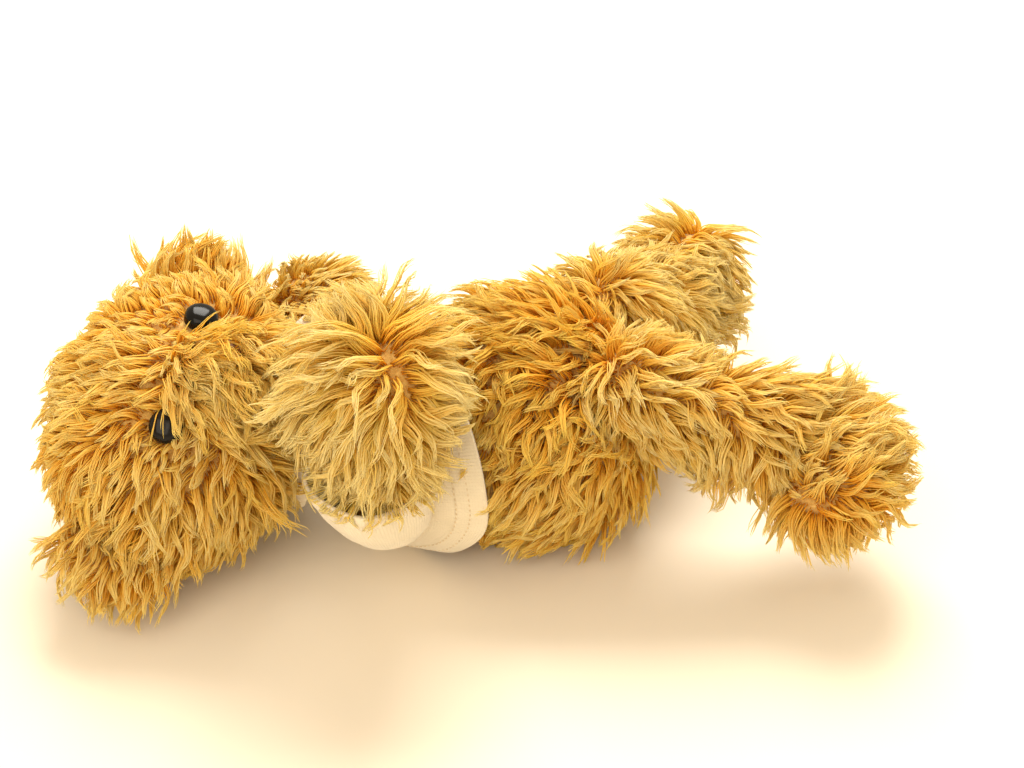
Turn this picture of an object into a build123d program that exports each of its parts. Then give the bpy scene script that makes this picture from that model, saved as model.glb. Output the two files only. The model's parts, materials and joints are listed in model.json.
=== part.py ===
"""Keyring teddy bear in long-pile plush with a knit T-shirt, lying on its back.

Millimetres. +Z is up, +X runs from the crown to the feet and the bear's left is +Y. The origin is the place
on the table where the back of the T-shirt rests. Each plush cover is as thick as its backing with the pile
lying on it, and is sewn from panels that meet at flat seams.
"""

import os

from build123d import *

# ---- Cloth, pile and clearances
PILE = 4.5  # plush backing with its pile lying down
MUZZLE_PILE = 3.2  # shorter pile on the muzzle
FIT = 0.15  # between a cover and what fills it
GAP = 0.3  # between pieces that turn on each other
KNIT = 0.8  # T-shirt cloth
EASE = 0.5  # looseness of the T-shirt on the body

# ---- Torso: turned about an axis that rises towards the hips
TORSO_AXIS = Vector(0.9945, 0, 0.1045)
TORSO_HEIGHT = 20.4  # of that axis above the table at the origin
NECK_STATION = -26.5  # where the round shoulders end; the neck stands on them
SHOULDER_STATION = -19.0
CHEST_STATION = -5.0
BELLY_STATION = 12.0
RUMP_STATION = 24.0
TAIL_STATION = 31.0
NECK_RADIUS = 9.2
SHOULDER_RADIUS = 15.2
CHEST_RADIUS = 19.8
BELLY_RADIUS = 22.6
RUMP_RADIUS = 18.6

# ---- Head: egg-shaped, widest from ear to ear, rolled and turned towards the bear's right
HEAD_LEFT = Vector(0.33, 0.85, 0.41)
HEAD_FACE = Vector(0.11, -0.47, 0.88)
HEAD_HALF_WIDTH = 28.0
HEAD_RADIUS = 23.0
HEAD_SETBACK = 52.0  # of the head's centre from the origin, towards the crown
HEAD_SHIFT = 4.0  # of the head's centre to the bear's left
HEAD_CLEARANCE = 0.6  # between the head and the table
HEAD_CENTRE = Vector(-HEAD_SETBACK, HEAD_SHIFT, HEAD_RADIUS + HEAD_CLEARANCE)
NECK_REACH = 21.0  # from the head's centre to the neck seam
NECK_LENGTH = 9.0
GUSSET_WIDTH = 14.0
GUSSET_START = -8.0  # where the gusset ends below the middle of the head
MUZZLE_SINK = 8.0  # of the muzzle's middle below the front of the head
MUZZLE_DROP = 6.0
MUZZLE_HALF_LENGTH = 13.0
MUZZLE_RADIUS = 11.2
NOSE_RADIUS = 3.6
NOSE_HALF_THICKNESS = 2.0
EAR_RADIUS = 9.5
EAR_HALF_THICKNESS = 3.2
EAR_SINK = 3.0  # of an ear's middle below the side of the head
EAR_HEIGHT = 3.0

# ---- Safety eyes: domes on ribbed stems, locked inside by slotted washers
EYE_SPREAD = 11.4
EYE_RADIUS = 3.0
EYE_DOME = 2.6
EYE_RIM = 0.6
EYE_SINK = 1.8  # of the eye's flat back below the pile's surface
STEM_RADIUS = 1.1
STEM_LENGTH = 9.0
RIB_COUNT = 4
RIB_PITCH = 1.1
RIB_HEIGHT = 0.25
WASHER_RADIUS = 4.0
WASHER_THICKNESS = 0.9
WASHER_SEAT = 0.6  # between a flat washer's middle and the curved cloth that its rim meets
WASHER_SLOTS = 6
SLOT_WIDTH = 0.5

# ---- Arms: each turns about its shoulder seam inside a short sleeve
SHOULDER_X = -17.0
SHOULDER_SPREAD = 21.0
SHOULDER_HEIGHT = 20.0
ARM_LENGTH = 38.0
ARM_ROOT_RADIUS = 9.6
ARM_WAIST_RADIUS = 9.6
PAW_RADIUS = 11.8
SLEEVE_RADIUS = 10.3
SLEEVE_LENGTH = 8.0
SLEEVE_DIP = 3.6  # how far the sleeve reaches back past the shoulder
ARM_RIGHT = Vector(0, -0.06, 1)
ARM_LEFT = Vector(-0.25, 0.92, -0.17)
ARM_LEFT_RAISED = 90.0  # the left arm's highest swing

# ---- Legs: each turns about its hip seam
HIP_X = 27.0
HIP_SPREAD = 12.5
HIP_HEIGHT = 35.0
LEG_LENGTH = 38.0  # hip to the middle of the foot
LEG_ROOT_RADIUS = 9.3
LEG_WAIST_RADIUS = 8.9
LEG_END_RADIUS = 9.3
LEG_RIGHT = Vector(0.925, -0.218, -0.308)
LEG_LEFT = Vector(0.482, 0.722, -0.496)
LEG_DROP = 8.0  # how far a leg swings below where it lies
TOES_RIGHT = Vector(-0.32, -0.885, -0.343)
TOES_LEFT = Vector(0.3, 0.35, 0.88)
FOOT_HALF_LENGTH = 14.5
FOOT_RADIUS = 11.2
FOOT_FORWARD = 3.0
SOLE_OFFSET = 5.0

# ---- T-shirt
HEM_STATION = 3.0
BAND_WIDTH = 3.6
BAND_THICKNESS = 1.2

# ---- Tape loop and split ring
RING_RADIUS = 11.5  # middle of the wire
WIRE_WIDTH = 1.5
WIRE_HEIGHT = 1.1
COIL_GAP = 0.05
RING_LIFT = 0.1  # of the ring's low side off the table
JOGGLE_ANGLE = 20.0  # of the ring, where the wire passes from one turn to the other
TAPE_WIDTH = 5.0
TAPE_THICKNESS = 0.5
EYELET_RADIUS = 2.1
EYELET_SETBACK = 54.0
EYELET_OUT = 33.5
EYELET_LIFT = 0.1  # of the eyelet off the table
EYELET_CENTRE = Vector(-EYELET_SETBACK, EYELET_OUT, EYELET_RADIUS + TAPE_THICKNESS + EYELET_LIFT)
LOOP_HEADING = Vector(0.37, 0.93, 0)
TAPE_RISE = 7.5  # of the tape's sewn end above the eyelet
TAPE_REACH = 18.2  # of the tape's sewn end back from the eyelet
SLIT_GAP = 0.1

OVAL_FULLNESS = 0.9  # from 0, a short round-ended rod, towards 1, an ellipse's own roundness at its ends
FAR = 200.0  # reach of the blocks that trim a shape

UP = Vector(0, 0, 1)
TORSO_BASE = Vector(0, 0, TORSO_HEIGHT)


def section_plane(base, along):
    """The plane of a turned piece's profile: Y runs along its axis and X is its radius."""
    reference = UP if abs(along.Z) < 0.9 else Vector(1, 0, 0)
    side = along.cross(reference).normalized()
    return Plane(origin=base, x_dir=side, z_dir=side.cross(along))


def oval_arcs(half_length, radius):
    """The radii of the arcs at the ends of an oval's long axis and along its flanks."""
    short, long = sorted((half_length, radius))
    tip = short * (short / long) ** OVAL_FULLNESS
    flank = (long**2 - 2 * long * tip + short**2) / (2 * (short - tip))
    return tip, flank


def spheroid(centre, along, half_length, radius):
    """An oval of tangent arcs turned about its own axis."""
    tip, flank = oval_arcs(half_length, radius)
    if half_length > radius:
        tip_centre, flank_centre = Vector(0, half_length - tip), Vector(radius - flank, 0)
    else:
        tip_centre, flank_centre = Vector(radius - tip, 0), Vector(0, half_length - flank)
    meet = tip_centre + (tip_centre - flank_centre).normalized() * tip
    with BuildPart() as form:
        with BuildSketch(section_plane(centre, along)):
            with BuildLine():
                Line((0, half_length), (0, -half_length))
                TangentArc((0, half_length), (meet.X, meet.Y), tangent=(1, 0))
                ThreePointArc((meet.X, meet.Y), (radius, 0), (meet.X, -meet.Y))
                TangentArc((0, -half_length), (meet.X, -meet.Y), tangent=(1, 0))
            make_face()
        revolve(axis=Axis(centre, along))
    return form.part


def limb(root, along, length, root_radius, waist_radius, end_radius, inset=0.0):
    """A limb with two round ends: root is the centre of the first, length reaches the far tip."""
    first, waist, last = (
        r - inset for r in (root_radius, waist_radius, end_radius)
    )
    far = length - end_radius
    with BuildPart() as form:
        with BuildSketch(section_plane(root, along)):
            with BuildLine():
                Line((0, far + last), (0, -first))
                JernArc((0, -first), (1, 0), first, 90)
                Spline(
                    (first, 0),
                    (waist, far / 2),
                    (last, far),
                    tangents=((0, 1), (0, 1)),
                )
                JernArc((last, far), (0, 1), last, 90)
            make_face()
        revolve(axis=Axis(root, along))
    return form.part


def capsule(root, along, length, radius):
    """A straight round-ended rod."""
    with BuildPart() as form:
        with BuildSketch(section_plane(root, along)):
            with BuildLine():
                Line((0, length + radius), (0, -radius))
                JernArc((0, -radius), (1, 0), radius, 90)
                Line((radius, 0), (radius, length))
                JernArc((radius, length), (0, 1), radius, 90)
            make_face()
        revolve(axis=Axis(root, along))
    return form.part


def torso_form(outset=0.0):
    """The pear-shaped body without its neck, grown or shrunk by outset."""
    with BuildPart() as form:
        with BuildSketch(section_plane(TORSO_BASE, TORSO_AXIS)):
            with BuildLine():
                Line((0, TAIL_STATION + outset), (0, NECK_STATION - outset))
                Spline(
                    (0, NECK_STATION - outset),
                    (SHOULDER_RADIUS + outset, SHOULDER_STATION),
                    (CHEST_RADIUS + outset, CHEST_STATION),
                    (BELLY_RADIUS + outset, BELLY_STATION),
                    (RUMP_RADIUS + outset, RUMP_STATION),
                    (0, TAIL_STATION + outset),
                    tangents=((1, 0), (-1, 0)),
                )
            make_face()
        revolve(axis=Axis(TORSO_BASE, TORSO_AXIS))
    return form.part


def across_neck(distance):
    """The plane across the neck at a distance from the head's centre, facing the head."""
    return Plane(origin=HEAD_CENTRE - NECK_AXIS * distance, z_dir=NECK_AXIS)


def along_torso(station):
    """The plane across the torso at a station, facing the feet."""
    return Plane(origin=TORSO_BASE + TORSO_AXIS * station, z_dir=TORSO_AXIS)


def finish(piece, name):
    """Labels a finished piece and writes it."""
    piece.part.label = name
    export_step(piece.part, f"parts/{name}.step")


# ---- Frames that the pieces share
NECK_AXIS = (HEAD_CENTRE - Vector(NECK_STATION, 0, TORSO_HEIGHT + NECK_STATION * TORSO_AXIS.Z)).normalized()
HEAD = Plane(origin=HEAD_CENTRE, x_dir=HEAD_LEFT, z_dir=HEAD_FACE)  # X left, Y crown, Z face
LEFT, CROWN, FACE = HEAD.x_dir, HEAD.y_dir, HEAD.z_dir
NECK_SIDE = across_neck(NECK_REACH)
SIDE_SEAMS = Plane(origin=TORSO_BASE, x_dir=TORSO_AXIS, z_dir=UP - TORSO_AXIS * TORSO_AXIS.Z)
LEFT_ARM_TOP = ARM_LEFT.rotate(Axis.X, ARM_LEFT_RAISED)

os.makedirs("parts", exist_ok=True)

# ---- Tape loop: a folded tape whose eyelet holds the ring and whose ends are sewn into the gusset's seam
LOOP_WIDE = LOOP_HEADING.cross(UP).normalized()
LOOP = Plane(origin=EYELET_CENTRE - LOOP_WIDE * (TAPE_WIDTH / 2), x_dir=LOOP_HEADING, z_dir=LOOP_WIDE)


def tape_strip(grow):
    """The two layers of tape from the eyelet to the sewn end, as one strip."""
    along = Vector(-TAPE_REACH, TAPE_RISE * (1 if LOOP.y_dir.Z > 0 else -1), 0)
    turn = along.get_angle(Vector(-1, 0, 0)) * (-1 if along.Y > 0 else 1)
    plane = Plane(origin=LOOP.origin - LOOP.z_dir * grow, x_dir=LOOP.x_dir, z_dir=LOOP.z_dir)
    with BuildPart() as strip:
        with BuildSketch(plane):
            with Locations(Location((0, 0), turn)):
                with Locations((-EYELET_RADIUS, 0)):
                    Rectangle(
                        along.length - EYELET_RADIUS,
                        2 * (TAPE_THICKNESS + grow),
                        align=(Align.MAX, Align.CENTER),
                    )
        extrude(amount=TAPE_WIDTH + 2 * grow)
    return strip.part


with BuildPart() as hang_loop:
    with BuildSketch(LOOP):
        Circle(EYELET_RADIUS + TAPE_THICKNESS)
    extrude(amount=TAPE_WIDTH)
    add(tape_strip(0))
    with BuildSketch(LOOP):
        Circle(EYELET_RADIUS)
    extrude(amount=TAPE_WIDTH, mode=Mode.SUBTRACT)
finish(hang_loop, "hang_loop")
tape_slit = tape_strip(SLIT_GAP)

# ---- Head cover: two sides, and a gusset from the chin over the crown to the nape
head_form = spheroid(HEAD_CENTRE, LEFT, HEAD_HALF_WIDTH, HEAD_RADIUS)
head_inside = spheroid(HEAD_CENTRE, LEFT, HEAD_HALF_WIDTH - PILE, HEAD_RADIUS - PILE)
around_head = spheroid(HEAD_CENTRE, LEFT, HEAD_HALF_WIDTH + FIT, HEAD_RADIUS + FIT)

with BuildPart() as head_cover:
    add(head_form)
    add(head_inside, mode=Mode.SUBTRACT)
    split(bisect_by=NECK_SIDE, keep=Keep.TOP)
    split(bisect_by=Plane.XY, keep=Keep.TOP)

with BuildPart() as gusset_zone:
    with BuildSketch(HEAD.offset(-FAR / 2)):
        with Locations((0, GUSSET_START)):
            Rectangle(GUSSET_WIDTH, FAR, align=(Align.CENTER, Align.MIN))
    extrude(amount=FAR)

with BuildPart() as head_gusset:
    add(head_cover.part)
    add(gusset_zone.part, mode=Mode.INTERSECT)
    add(tape_slit, mode=Mode.SUBTRACT)
finish(head_gusset, "head_gusset")


def eye_frame(side):
    """Where an eye's axis leaves the head, and its outward direction, on the left (1) or right (-1)."""
    flank = oval_arcs(HEAD_HALF_WIDTH, HEAD_RADIUS)[1]
    reach = (flank**2 - EYE_SPREAD**2) ** 0.5
    outward = (LEFT * (side * EYE_SPREAD) + FACE * reach).normalized()
    return HEAD_CENTRE + outward * flank - FACE * (flank - HEAD_RADIUS), outward


washer_depth = PILE + WASHER_THICKNESS + WASHER_SEAT
with BuildPart() as head_stuffing:
    add(spheroid(HEAD_CENTRE, LEFT, HEAD_HALF_WIDTH - PILE - FIT, HEAD_RADIUS - PILE - FIT))
    for side in (-1, 1):
        surface, outward = eye_frame(side)
        with BuildSketch(Plane(origin=surface - outward * (washer_depth + FIT), z_dir=outward)):
            Circle(WASHER_RADIUS + FIT)
        extrude(amount=PILE, mode=Mode.SUBTRACT)
        with BuildSketch(Plane(origin=surface, z_dir=outward)):
            Circle(STEM_RADIUS + RIB_HEIGHT + FIT)
        extrude(amount=-(EYE_SINK + STEM_LENGTH + FIT), mode=Mode.SUBTRACT)
finish(head_stuffing, "head_stuffing")

for side, name, keep in ((-1, "right", Keep.BOTTOM), (1, "left", Keep.TOP)):
    surface, outward = eye_frame(side)
    seat = surface - outward * EYE_SINK
    with BuildPart() as head_side:
        add(head_cover.part)
        split(bisect_by=Plane(origin=HEAD_CENTRE, z_dir=LEFT), keep=keep)
        add(gusset_zone.part, mode=Mode.SUBTRACT)
        with BuildSketch(Plane(origin=seat, z_dir=outward)):
            Circle(EYE_RADIUS + FIT)
        extrude(amount=PILE, mode=Mode.SUBTRACT)
        with BuildSketch(Plane(origin=seat, z_dir=outward)):
            Circle(STEM_RADIUS + RIB_HEIGHT + FIT)
        extrude(amount=-STEM_LENGTH, mode=Mode.SUBTRACT)
    finish(head_side, f"head_side_{name}")

    with BuildPart() as eye:
        with BuildSketch(section_plane(seat, outward)):
            with BuildLine():
                Line((0, EYE_DOME), (0, -STEM_LENGTH))
                Line((0, -STEM_LENGTH), (STEM_RADIUS, -STEM_LENGTH))
                Line((STEM_RADIUS, -STEM_LENGTH), (STEM_RADIUS, 0))
                Line((STEM_RADIUS, 0), (EYE_RADIUS, 0))
                Line((EYE_RADIUS, 0), (EYE_RADIUS, EYE_RIM))
                Spline(
                    (EYE_RADIUS, EYE_RIM),
                    (0, EYE_DOME),
                    tangents=((0, 1), (-1, 0)),
                )
            make_face()
        revolve(axis=Axis(seat, outward))
        for rib in range(RIB_COUNT):
            foot = STEM_LENGTH - RIB_PITCH * (rib + 0.5)
            with BuildSketch(Plane(origin=seat - outward * foot, z_dir=outward)):
                Circle(STEM_RADIUS + RIB_HEIGHT)
            extrude(amount=-RIB_PITCH / 2, taper=12)
    finish(eye, f"eye_{name}")

    inner = Plane(origin=surface - outward * washer_depth, z_dir=outward)
    with BuildPart() as washer:
        with BuildSketch(inner):
            Circle(WASHER_RADIUS)
            Circle(STEM_RADIUS + GAP / 5, mode=Mode.SUBTRACT)
            with PolarLocations(STEM_RADIUS, WASHER_SLOTS):
                Rectangle(
                    WASHER_RADIUS / 2,
                    SLOT_WIDTH,
                    align=(Align.MIN, Align.CENTER),
                    mode=Mode.SUBTRACT,
                )
        extrude(amount=WASHER_THICKNESS)
    finish(washer, f"eye_washer_{name}")

    ear_centre = HEAD_CENTRE + LEFT * (side * (HEAD_HALF_WIDTH - EAR_SINK)) + CROWN * EAR_HEIGHT
    ear_form = spheroid(ear_centre, FACE, EAR_HALF_THICKNESS, EAR_RADIUS)
    for layer, half in (("front", Keep.TOP), ("back", Keep.BOTTOM)):
        with BuildPart() as ear:
            add(ear_form)
            split(bisect_by=Plane(origin=ear_centre, z_dir=FACE), keep=half)
            add(around_head, mode=Mode.SUBTRACT)
        finish(ear, f"ear_{name}_{layer}")

# ---- Muzzle and its sewn nose
muzzle_centre = HEAD_CENTRE + FACE * (HEAD_RADIUS - MUZZLE_SINK) - CROWN * MUZZLE_DROP
with BuildPart() as muzzle:
    add(spheroid(muzzle_centre, FACE, MUZZLE_HALF_LENGTH, MUZZLE_RADIUS))
    add(
        spheroid(muzzle_centre, FACE, MUZZLE_HALF_LENGTH - MUZZLE_PILE, MUZZLE_RADIUS - MUZZLE_PILE),
        mode=Mode.SUBTRACT,
    )
    add(around_head, mode=Mode.SUBTRACT)
    split(bisect_by=Plane(origin=HEAD_CENTRE, z_dir=FACE), keep=Keep.TOP)
finish(muzzle, "muzzle")

with BuildPart() as muzzle_stuffing:
    add(
        spheroid(
            muzzle_centre,
            FACE,
            MUZZLE_HALF_LENGTH - MUZZLE_PILE - FIT,
            MUZZLE_RADIUS - MUZZLE_PILE - FIT,
        )
    )
    add(around_head, mode=Mode.SUBTRACT)
    split(bisect_by=Plane(origin=HEAD_CENTRE, z_dir=FACE), keep=Keep.TOP)
finish(muzzle_stuffing, "muzzle_stuffing")

with BuildPart() as nose:
    add(
        spheroid(
            muzzle_centre + FACE * MUZZLE_HALF_LENGTH,
            FACE,
            NOSE_HALF_THICKNESS,
            NOSE_RADIUS,
        )
    )
    add(
        spheroid(muzzle_centre, FACE, MUZZLE_HALF_LENGTH + FIT, MUZZLE_RADIUS + FIT),
        mode=Mode.SUBTRACT,
    )
finish(nose, "nose")

# ---- Seats that the limbs' roots turn in
arm_seats = []
arm_seat_radius = SLEEVE_RADIUS + KNIT + GAP
for side, along in ((-1, ARM_RIGHT), (1, LEFT_ARM_TOP)):
    shoulder = Vector(SHOULDER_X, side * SHOULDER_SPREAD, SHOULDER_HEIGHT)
    arm_seats.append(capsule(shoulder, along.normalized(), ARM_LENGTH, arm_seat_radius))


def hip_and_frame(side):
    """A leg's hip point, its direction and the direction of its toes."""
    along, toes = (LEG_RIGHT, TOES_RIGHT) if side < 0 else (LEG_LEFT, TOES_LEFT)
    along = along.normalized()
    toes = (toes - along * toes.dot(along)).normalized()
    return Vector(HIP_X, side * HIP_SPREAD, HIP_HEIGHT), along, toes


leg_seats = []
leg_seat_radius = LEG_ROOT_RADIUS + GAP
for side in (-1, 1):
    hip, along, toes = hip_and_frame(side)
    level = Vector(along.X, along.Y, 0).normalized()
    lift_axis = Axis(Vector(0, 0, 0), level.cross(UP))
    leg_seats.append(capsule(hip, along, LEG_LENGTH, leg_seat_radius))
    leg_seats.append(capsule(hip, along.rotate(lift_axis, -LEG_DROP), LEG_LENGTH, leg_seat_radius + GAP))


def torso_solid(inset):
    """Torso and neck as one solid, shrunk by inset, ending at the neck seam."""
    neck_seam = across_neck(NECK_REACH + GAP + inset)
    with BuildPart() as neck_block:
        with BuildSketch(neck_seam):
            Circle(NECK_RADIUS - inset)
        extrude(amount=-NECK_LENGTH)
    with BuildPart() as body:
        add(torso_form(-inset))
        add(neck_block.part)
        split(bisect_by=neck_seam, keep=Keep.BOTTOM)
    return body.part


# ---- Torso: belly panel, two back panels and the stuffing
shirt_back = KNIT + EASE  # the torso's height off the table where the T-shirt lies under it
with BuildPart() as under_shirt:
    with BuildSketch(Plane.XY):
        Rectangle(FAR, FAR)
    extrude(amount=shirt_back)
    split(bisect_by=along_torso(HEM_STATION + EASE), keep=Keep.BOTTOM)

with BuildPart() as torso_cover:
    add(torso_solid(0))
    add(torso_solid(PILE), mode=Mode.SUBTRACT)

with BuildPart() as torso_belly:
    add(torso_cover.part)
    split(bisect_by=SIDE_SEAMS, keep=Keep.TOP)
    for seat in arm_seats + leg_seats:
        add(seat, mode=Mode.SUBTRACT)
finish(torso_belly, "torso_belly")

for name, keep, seats in (
    ("right", Keep.TOP, arm_seats[:1] + leg_seats[:2]),
    ("left", Keep.BOTTOM, arm_seats[1:] + leg_seats[2:]),
):
    with BuildPart() as torso_back:
        add(torso_cover.part)
        split(bisect_by=SIDE_SEAMS, keep=Keep.BOTTOM)
        split(bisect_by=Plane.XZ, keep=keep)
        split(bisect_by=Plane.XY, keep=Keep.TOP)
        add(under_shirt.part, mode=Mode.SUBTRACT)
        for seat in seats:
            add(seat, mode=Mode.SUBTRACT)
    finish(torso_back, f"torso_back_{name}")

with BuildPart() as torso_stuffing:
    add(torso_solid(PILE + FIT))
    for seat in arm_seats + leg_seats:
        add(seat, mode=Mode.SUBTRACT)
finish(torso_stuffing, "torso_stuffing")

# ---- Arms and sleeves
for side, name, along in ((-1, "right", ARM_RIGHT), (1, "left", ARM_LEFT)):
    along = along.normalized()
    shoulder = Vector(SHOULDER_X, side * SHOULDER_SPREAD, SHOULDER_HEIGHT)
    sizes = (ARM_LENGTH, ARM_ROOT_RADIUS, ARM_WAIST_RADIUS, PAW_RADIUS)
    seam = Plane(origin=shoulder, z_dir=along.cross(Vector(1, 0, 0)))
    with BuildPart() as arm_cover:
        add(limb(shoulder, along, *sizes))
        add(limb(shoulder, along, *sizes, inset=PILE), mode=Mode.SUBTRACT)
    for panel, keep in (("upper", Keep.TOP), ("lower", Keep.BOTTOM)):
        with BuildPart() as arm_panel:
            add(arm_cover.part)
            split(bisect_by=seam, keep=keep)
        finish(arm_panel, f"arm_{name}_{panel}")
    with BuildPart() as arm_stuffing:
        add(limb(shoulder, along, *sizes, inset=PILE + FIT))
    finish(arm_stuffing, f"arm_{name}_stuffing")

    outside = SLEEVE_RADIUS + KNIT
    back_in = (SLEEVE_RADIUS**2 - SLEEVE_DIP**2) ** 0.5
    back_out = (outside**2 - SLEEVE_DIP**2) ** 0.5
    with BuildPart() as sleeve:
        with BuildSketch(section_plane(shoulder, along)):
            with BuildLine():
                Line((back_in, -SLEEVE_DIP), (back_out, -SLEEVE_DIP))
                RadiusArc((back_out, -SLEEVE_DIP), (outside, 0), -outside)
                Line((outside, 0), (outside, SLEEVE_LENGTH))
                Line((outside, SLEEVE_LENGTH), (SLEEVE_RADIUS, SLEEVE_LENGTH))
                Line((SLEEVE_RADIUS, SLEEVE_LENGTH), (SLEEVE_RADIUS, 0))
                RadiusArc((SLEEVE_RADIUS, 0), (back_in, -SLEEVE_DIP), SLEEVE_RADIUS)
            make_face()
        revolve(axis=Axis(shoulder, along))
    finish(sleeve, f"sleeve_{name}")

# ---- Legs with feet: two panels, a sole and the stuffing
for side, name in ((-1, "right"), (1, "left")):
    hip, along, toes = hip_and_frame(side)
    foot_centre = hip + along * LEG_LENGTH + toes * FOOT_FORWARD
    sole_plane = Plane(origin=foot_centre + along * SOLE_OFFSET, z_dir=along)
    seam = Plane(origin=hip, z_dir=along.cross(toes))
    sizes = (LEG_LENGTH, LEG_ROOT_RADIUS, LEG_WAIST_RADIUS, LEG_END_RADIUS)
    with BuildPart() as leg_form:
        add(limb(hip, along, *sizes))
        add(spheroid(foot_centre, toes, FOOT_HALF_LENGTH, FOOT_RADIUS))
    with BuildPart() as leg_inside:
        add(limb(hip, along, *sizes, inset=PILE))
        add(spheroid(foot_centre, toes, FOOT_HALF_LENGTH - PILE, FOOT_RADIUS - PILE))
    with BuildPart() as leg_cover:
        add(leg_form.part)
        add(leg_inside.part, mode=Mode.SUBTRACT)
    with BuildPart() as leg_sole:
        add(leg_cover.part)
        split(bisect_by=sole_plane, keep=Keep.TOP)
    finish(leg_sole, f"leg_{name}_sole")
    for panel, keep in (("outer", Keep.TOP), ("inner", Keep.BOTTOM)):
        with BuildPart() as leg_panel:
            add(leg_cover.part)
            split(bisect_by=sole_plane, keep=Keep.BOTTOM)
            split(bisect_by=seam, keep=keep)
        finish(leg_panel, f"leg_{name}_{panel}")
    with BuildPart() as leg_stuffing:
        add(limb(hip, along, *sizes, inset=PILE + FIT))
        add(spheroid(foot_centre, toes, FOOT_HALF_LENGTH - PILE - FIT, FOOT_RADIUS - PILE - FIT))
    finish(leg_stuffing, f"leg_{name}_stuffing")

# ---- T-shirt: front and back joined at the side seams, and a neck band
band_far = NECK_REACH + GAP + FIT + BAND_WIDTH
with BuildPart() as shirt_inside:
    add(torso_form(EASE))
    split(bisect_by=Plane.XY.offset(KNIT), keep=Keep.TOP)

with BuildPart() as shirt:
    add(torso_form(EASE + KNIT))
    split(bisect_by=Plane.XY, keep=Keep.TOP)
    add(shirt_inside.part, mode=Mode.SUBTRACT)
    split(bisect_by=along_torso(HEM_STATION), keep=Keep.BOTTOM)
    split(bisect_by=across_neck(band_far + FIT), keep=Keep.BOTTOM)
    with BuildSketch(across_neck(NECK_REACH)):
        Circle(NECK_RADIUS + EASE / 2)
    extrude(amount=-NECK_LENGTH - EASE, mode=Mode.SUBTRACT)

for name, keep in (("front", Keep.TOP), ("back", Keep.BOTTOM)):
    with BuildPart() as shirt_panel:
        add(shirt.part)
        split(bisect_by=SIDE_SEAMS, keep=keep)
        for seat in arm_seats:
            add(seat, mode=Mode.SUBTRACT)
    finish(shirt_panel, f"shirt_{name}")

with BuildPart() as neck_band:
    with BuildSketch(across_neck(band_far)):
        Circle(NECK_RADIUS + GAP + BAND_THICKNESS)
        Circle(NECK_RADIUS + GAP, mode=Mode.SUBTRACT)
    extrude(amount=BAND_WIDTH)
finish(neck_band, "neck_band")

# ---- Split ring: two turns of flat wire and the joggle between them, tipped into the tape's eyelet
coil_pitch = WIRE_HEIGHT + COIL_GAP
ring_tilt = (EYELET_CENTRE.Z - coil_pitch - RING_LIFT) / (2 * RING_RADIUS)
ring_out = (LOOP_HEADING.normalized() - UP * ring_tilt).normalized()
RING = Plane(origin=EYELET_CENTRE + ring_out * RING_RADIUS, x_dir=ring_out, z_dir=ring_out.cross(LOOP_WIDE))
RING_AXIS = Axis(RING.origin, RING.z_dir)


def across_wire(angle, level):
    """The plane across the wire at an angle round the ring and a level along its axis."""
    outward = RING.x_dir.rotate(Axis(Vector(0, 0, 0), RING.z_dir), angle)
    place = RING.origin + outward * RING_RADIUS + RING.z_dir * level
    return Plane(origin=place, x_dir=outward, z_dir=RING.z_dir.cross(outward))


with BuildPart() as key_ring:
    for level in (-coil_pitch / 2, coil_pitch / 2):
        with BuildSketch(across_wire(JOGGLE_ANGLE / 2, level)):
            Rectangle(WIRE_WIDTH, WIRE_HEIGHT)
        revolve(axis=RING_AXIS, revolution_arc=360 - JOGGLE_ANGLE)
    with BuildSketch(across_wire(-JOGGLE_ANGLE / 2, -coil_pitch / 2)):
        Rectangle(WIRE_WIDTH, WIRE_HEIGHT)
    with BuildSketch(across_wire(JOGGLE_ANGLE / 2, coil_pitch / 2)):
        Rectangle(WIRE_WIDTH, WIRE_HEIGHT)
    loft(ruled=True)
finish(key_ring, "key_ring")
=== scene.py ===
"""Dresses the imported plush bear: tousled pile, knit T-shirt, glossy eyes, tape loop and split ring.

Forms are worked out in millimetres and written in metres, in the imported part's own frame: +Z is up,
+X runs from the crown to the feet and the bear's left is +Y.
"""

import json
import logging
import math
from collections.abc import Callable, Iterable
from dataclasses import dataclass, field
from enum import Enum

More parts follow.
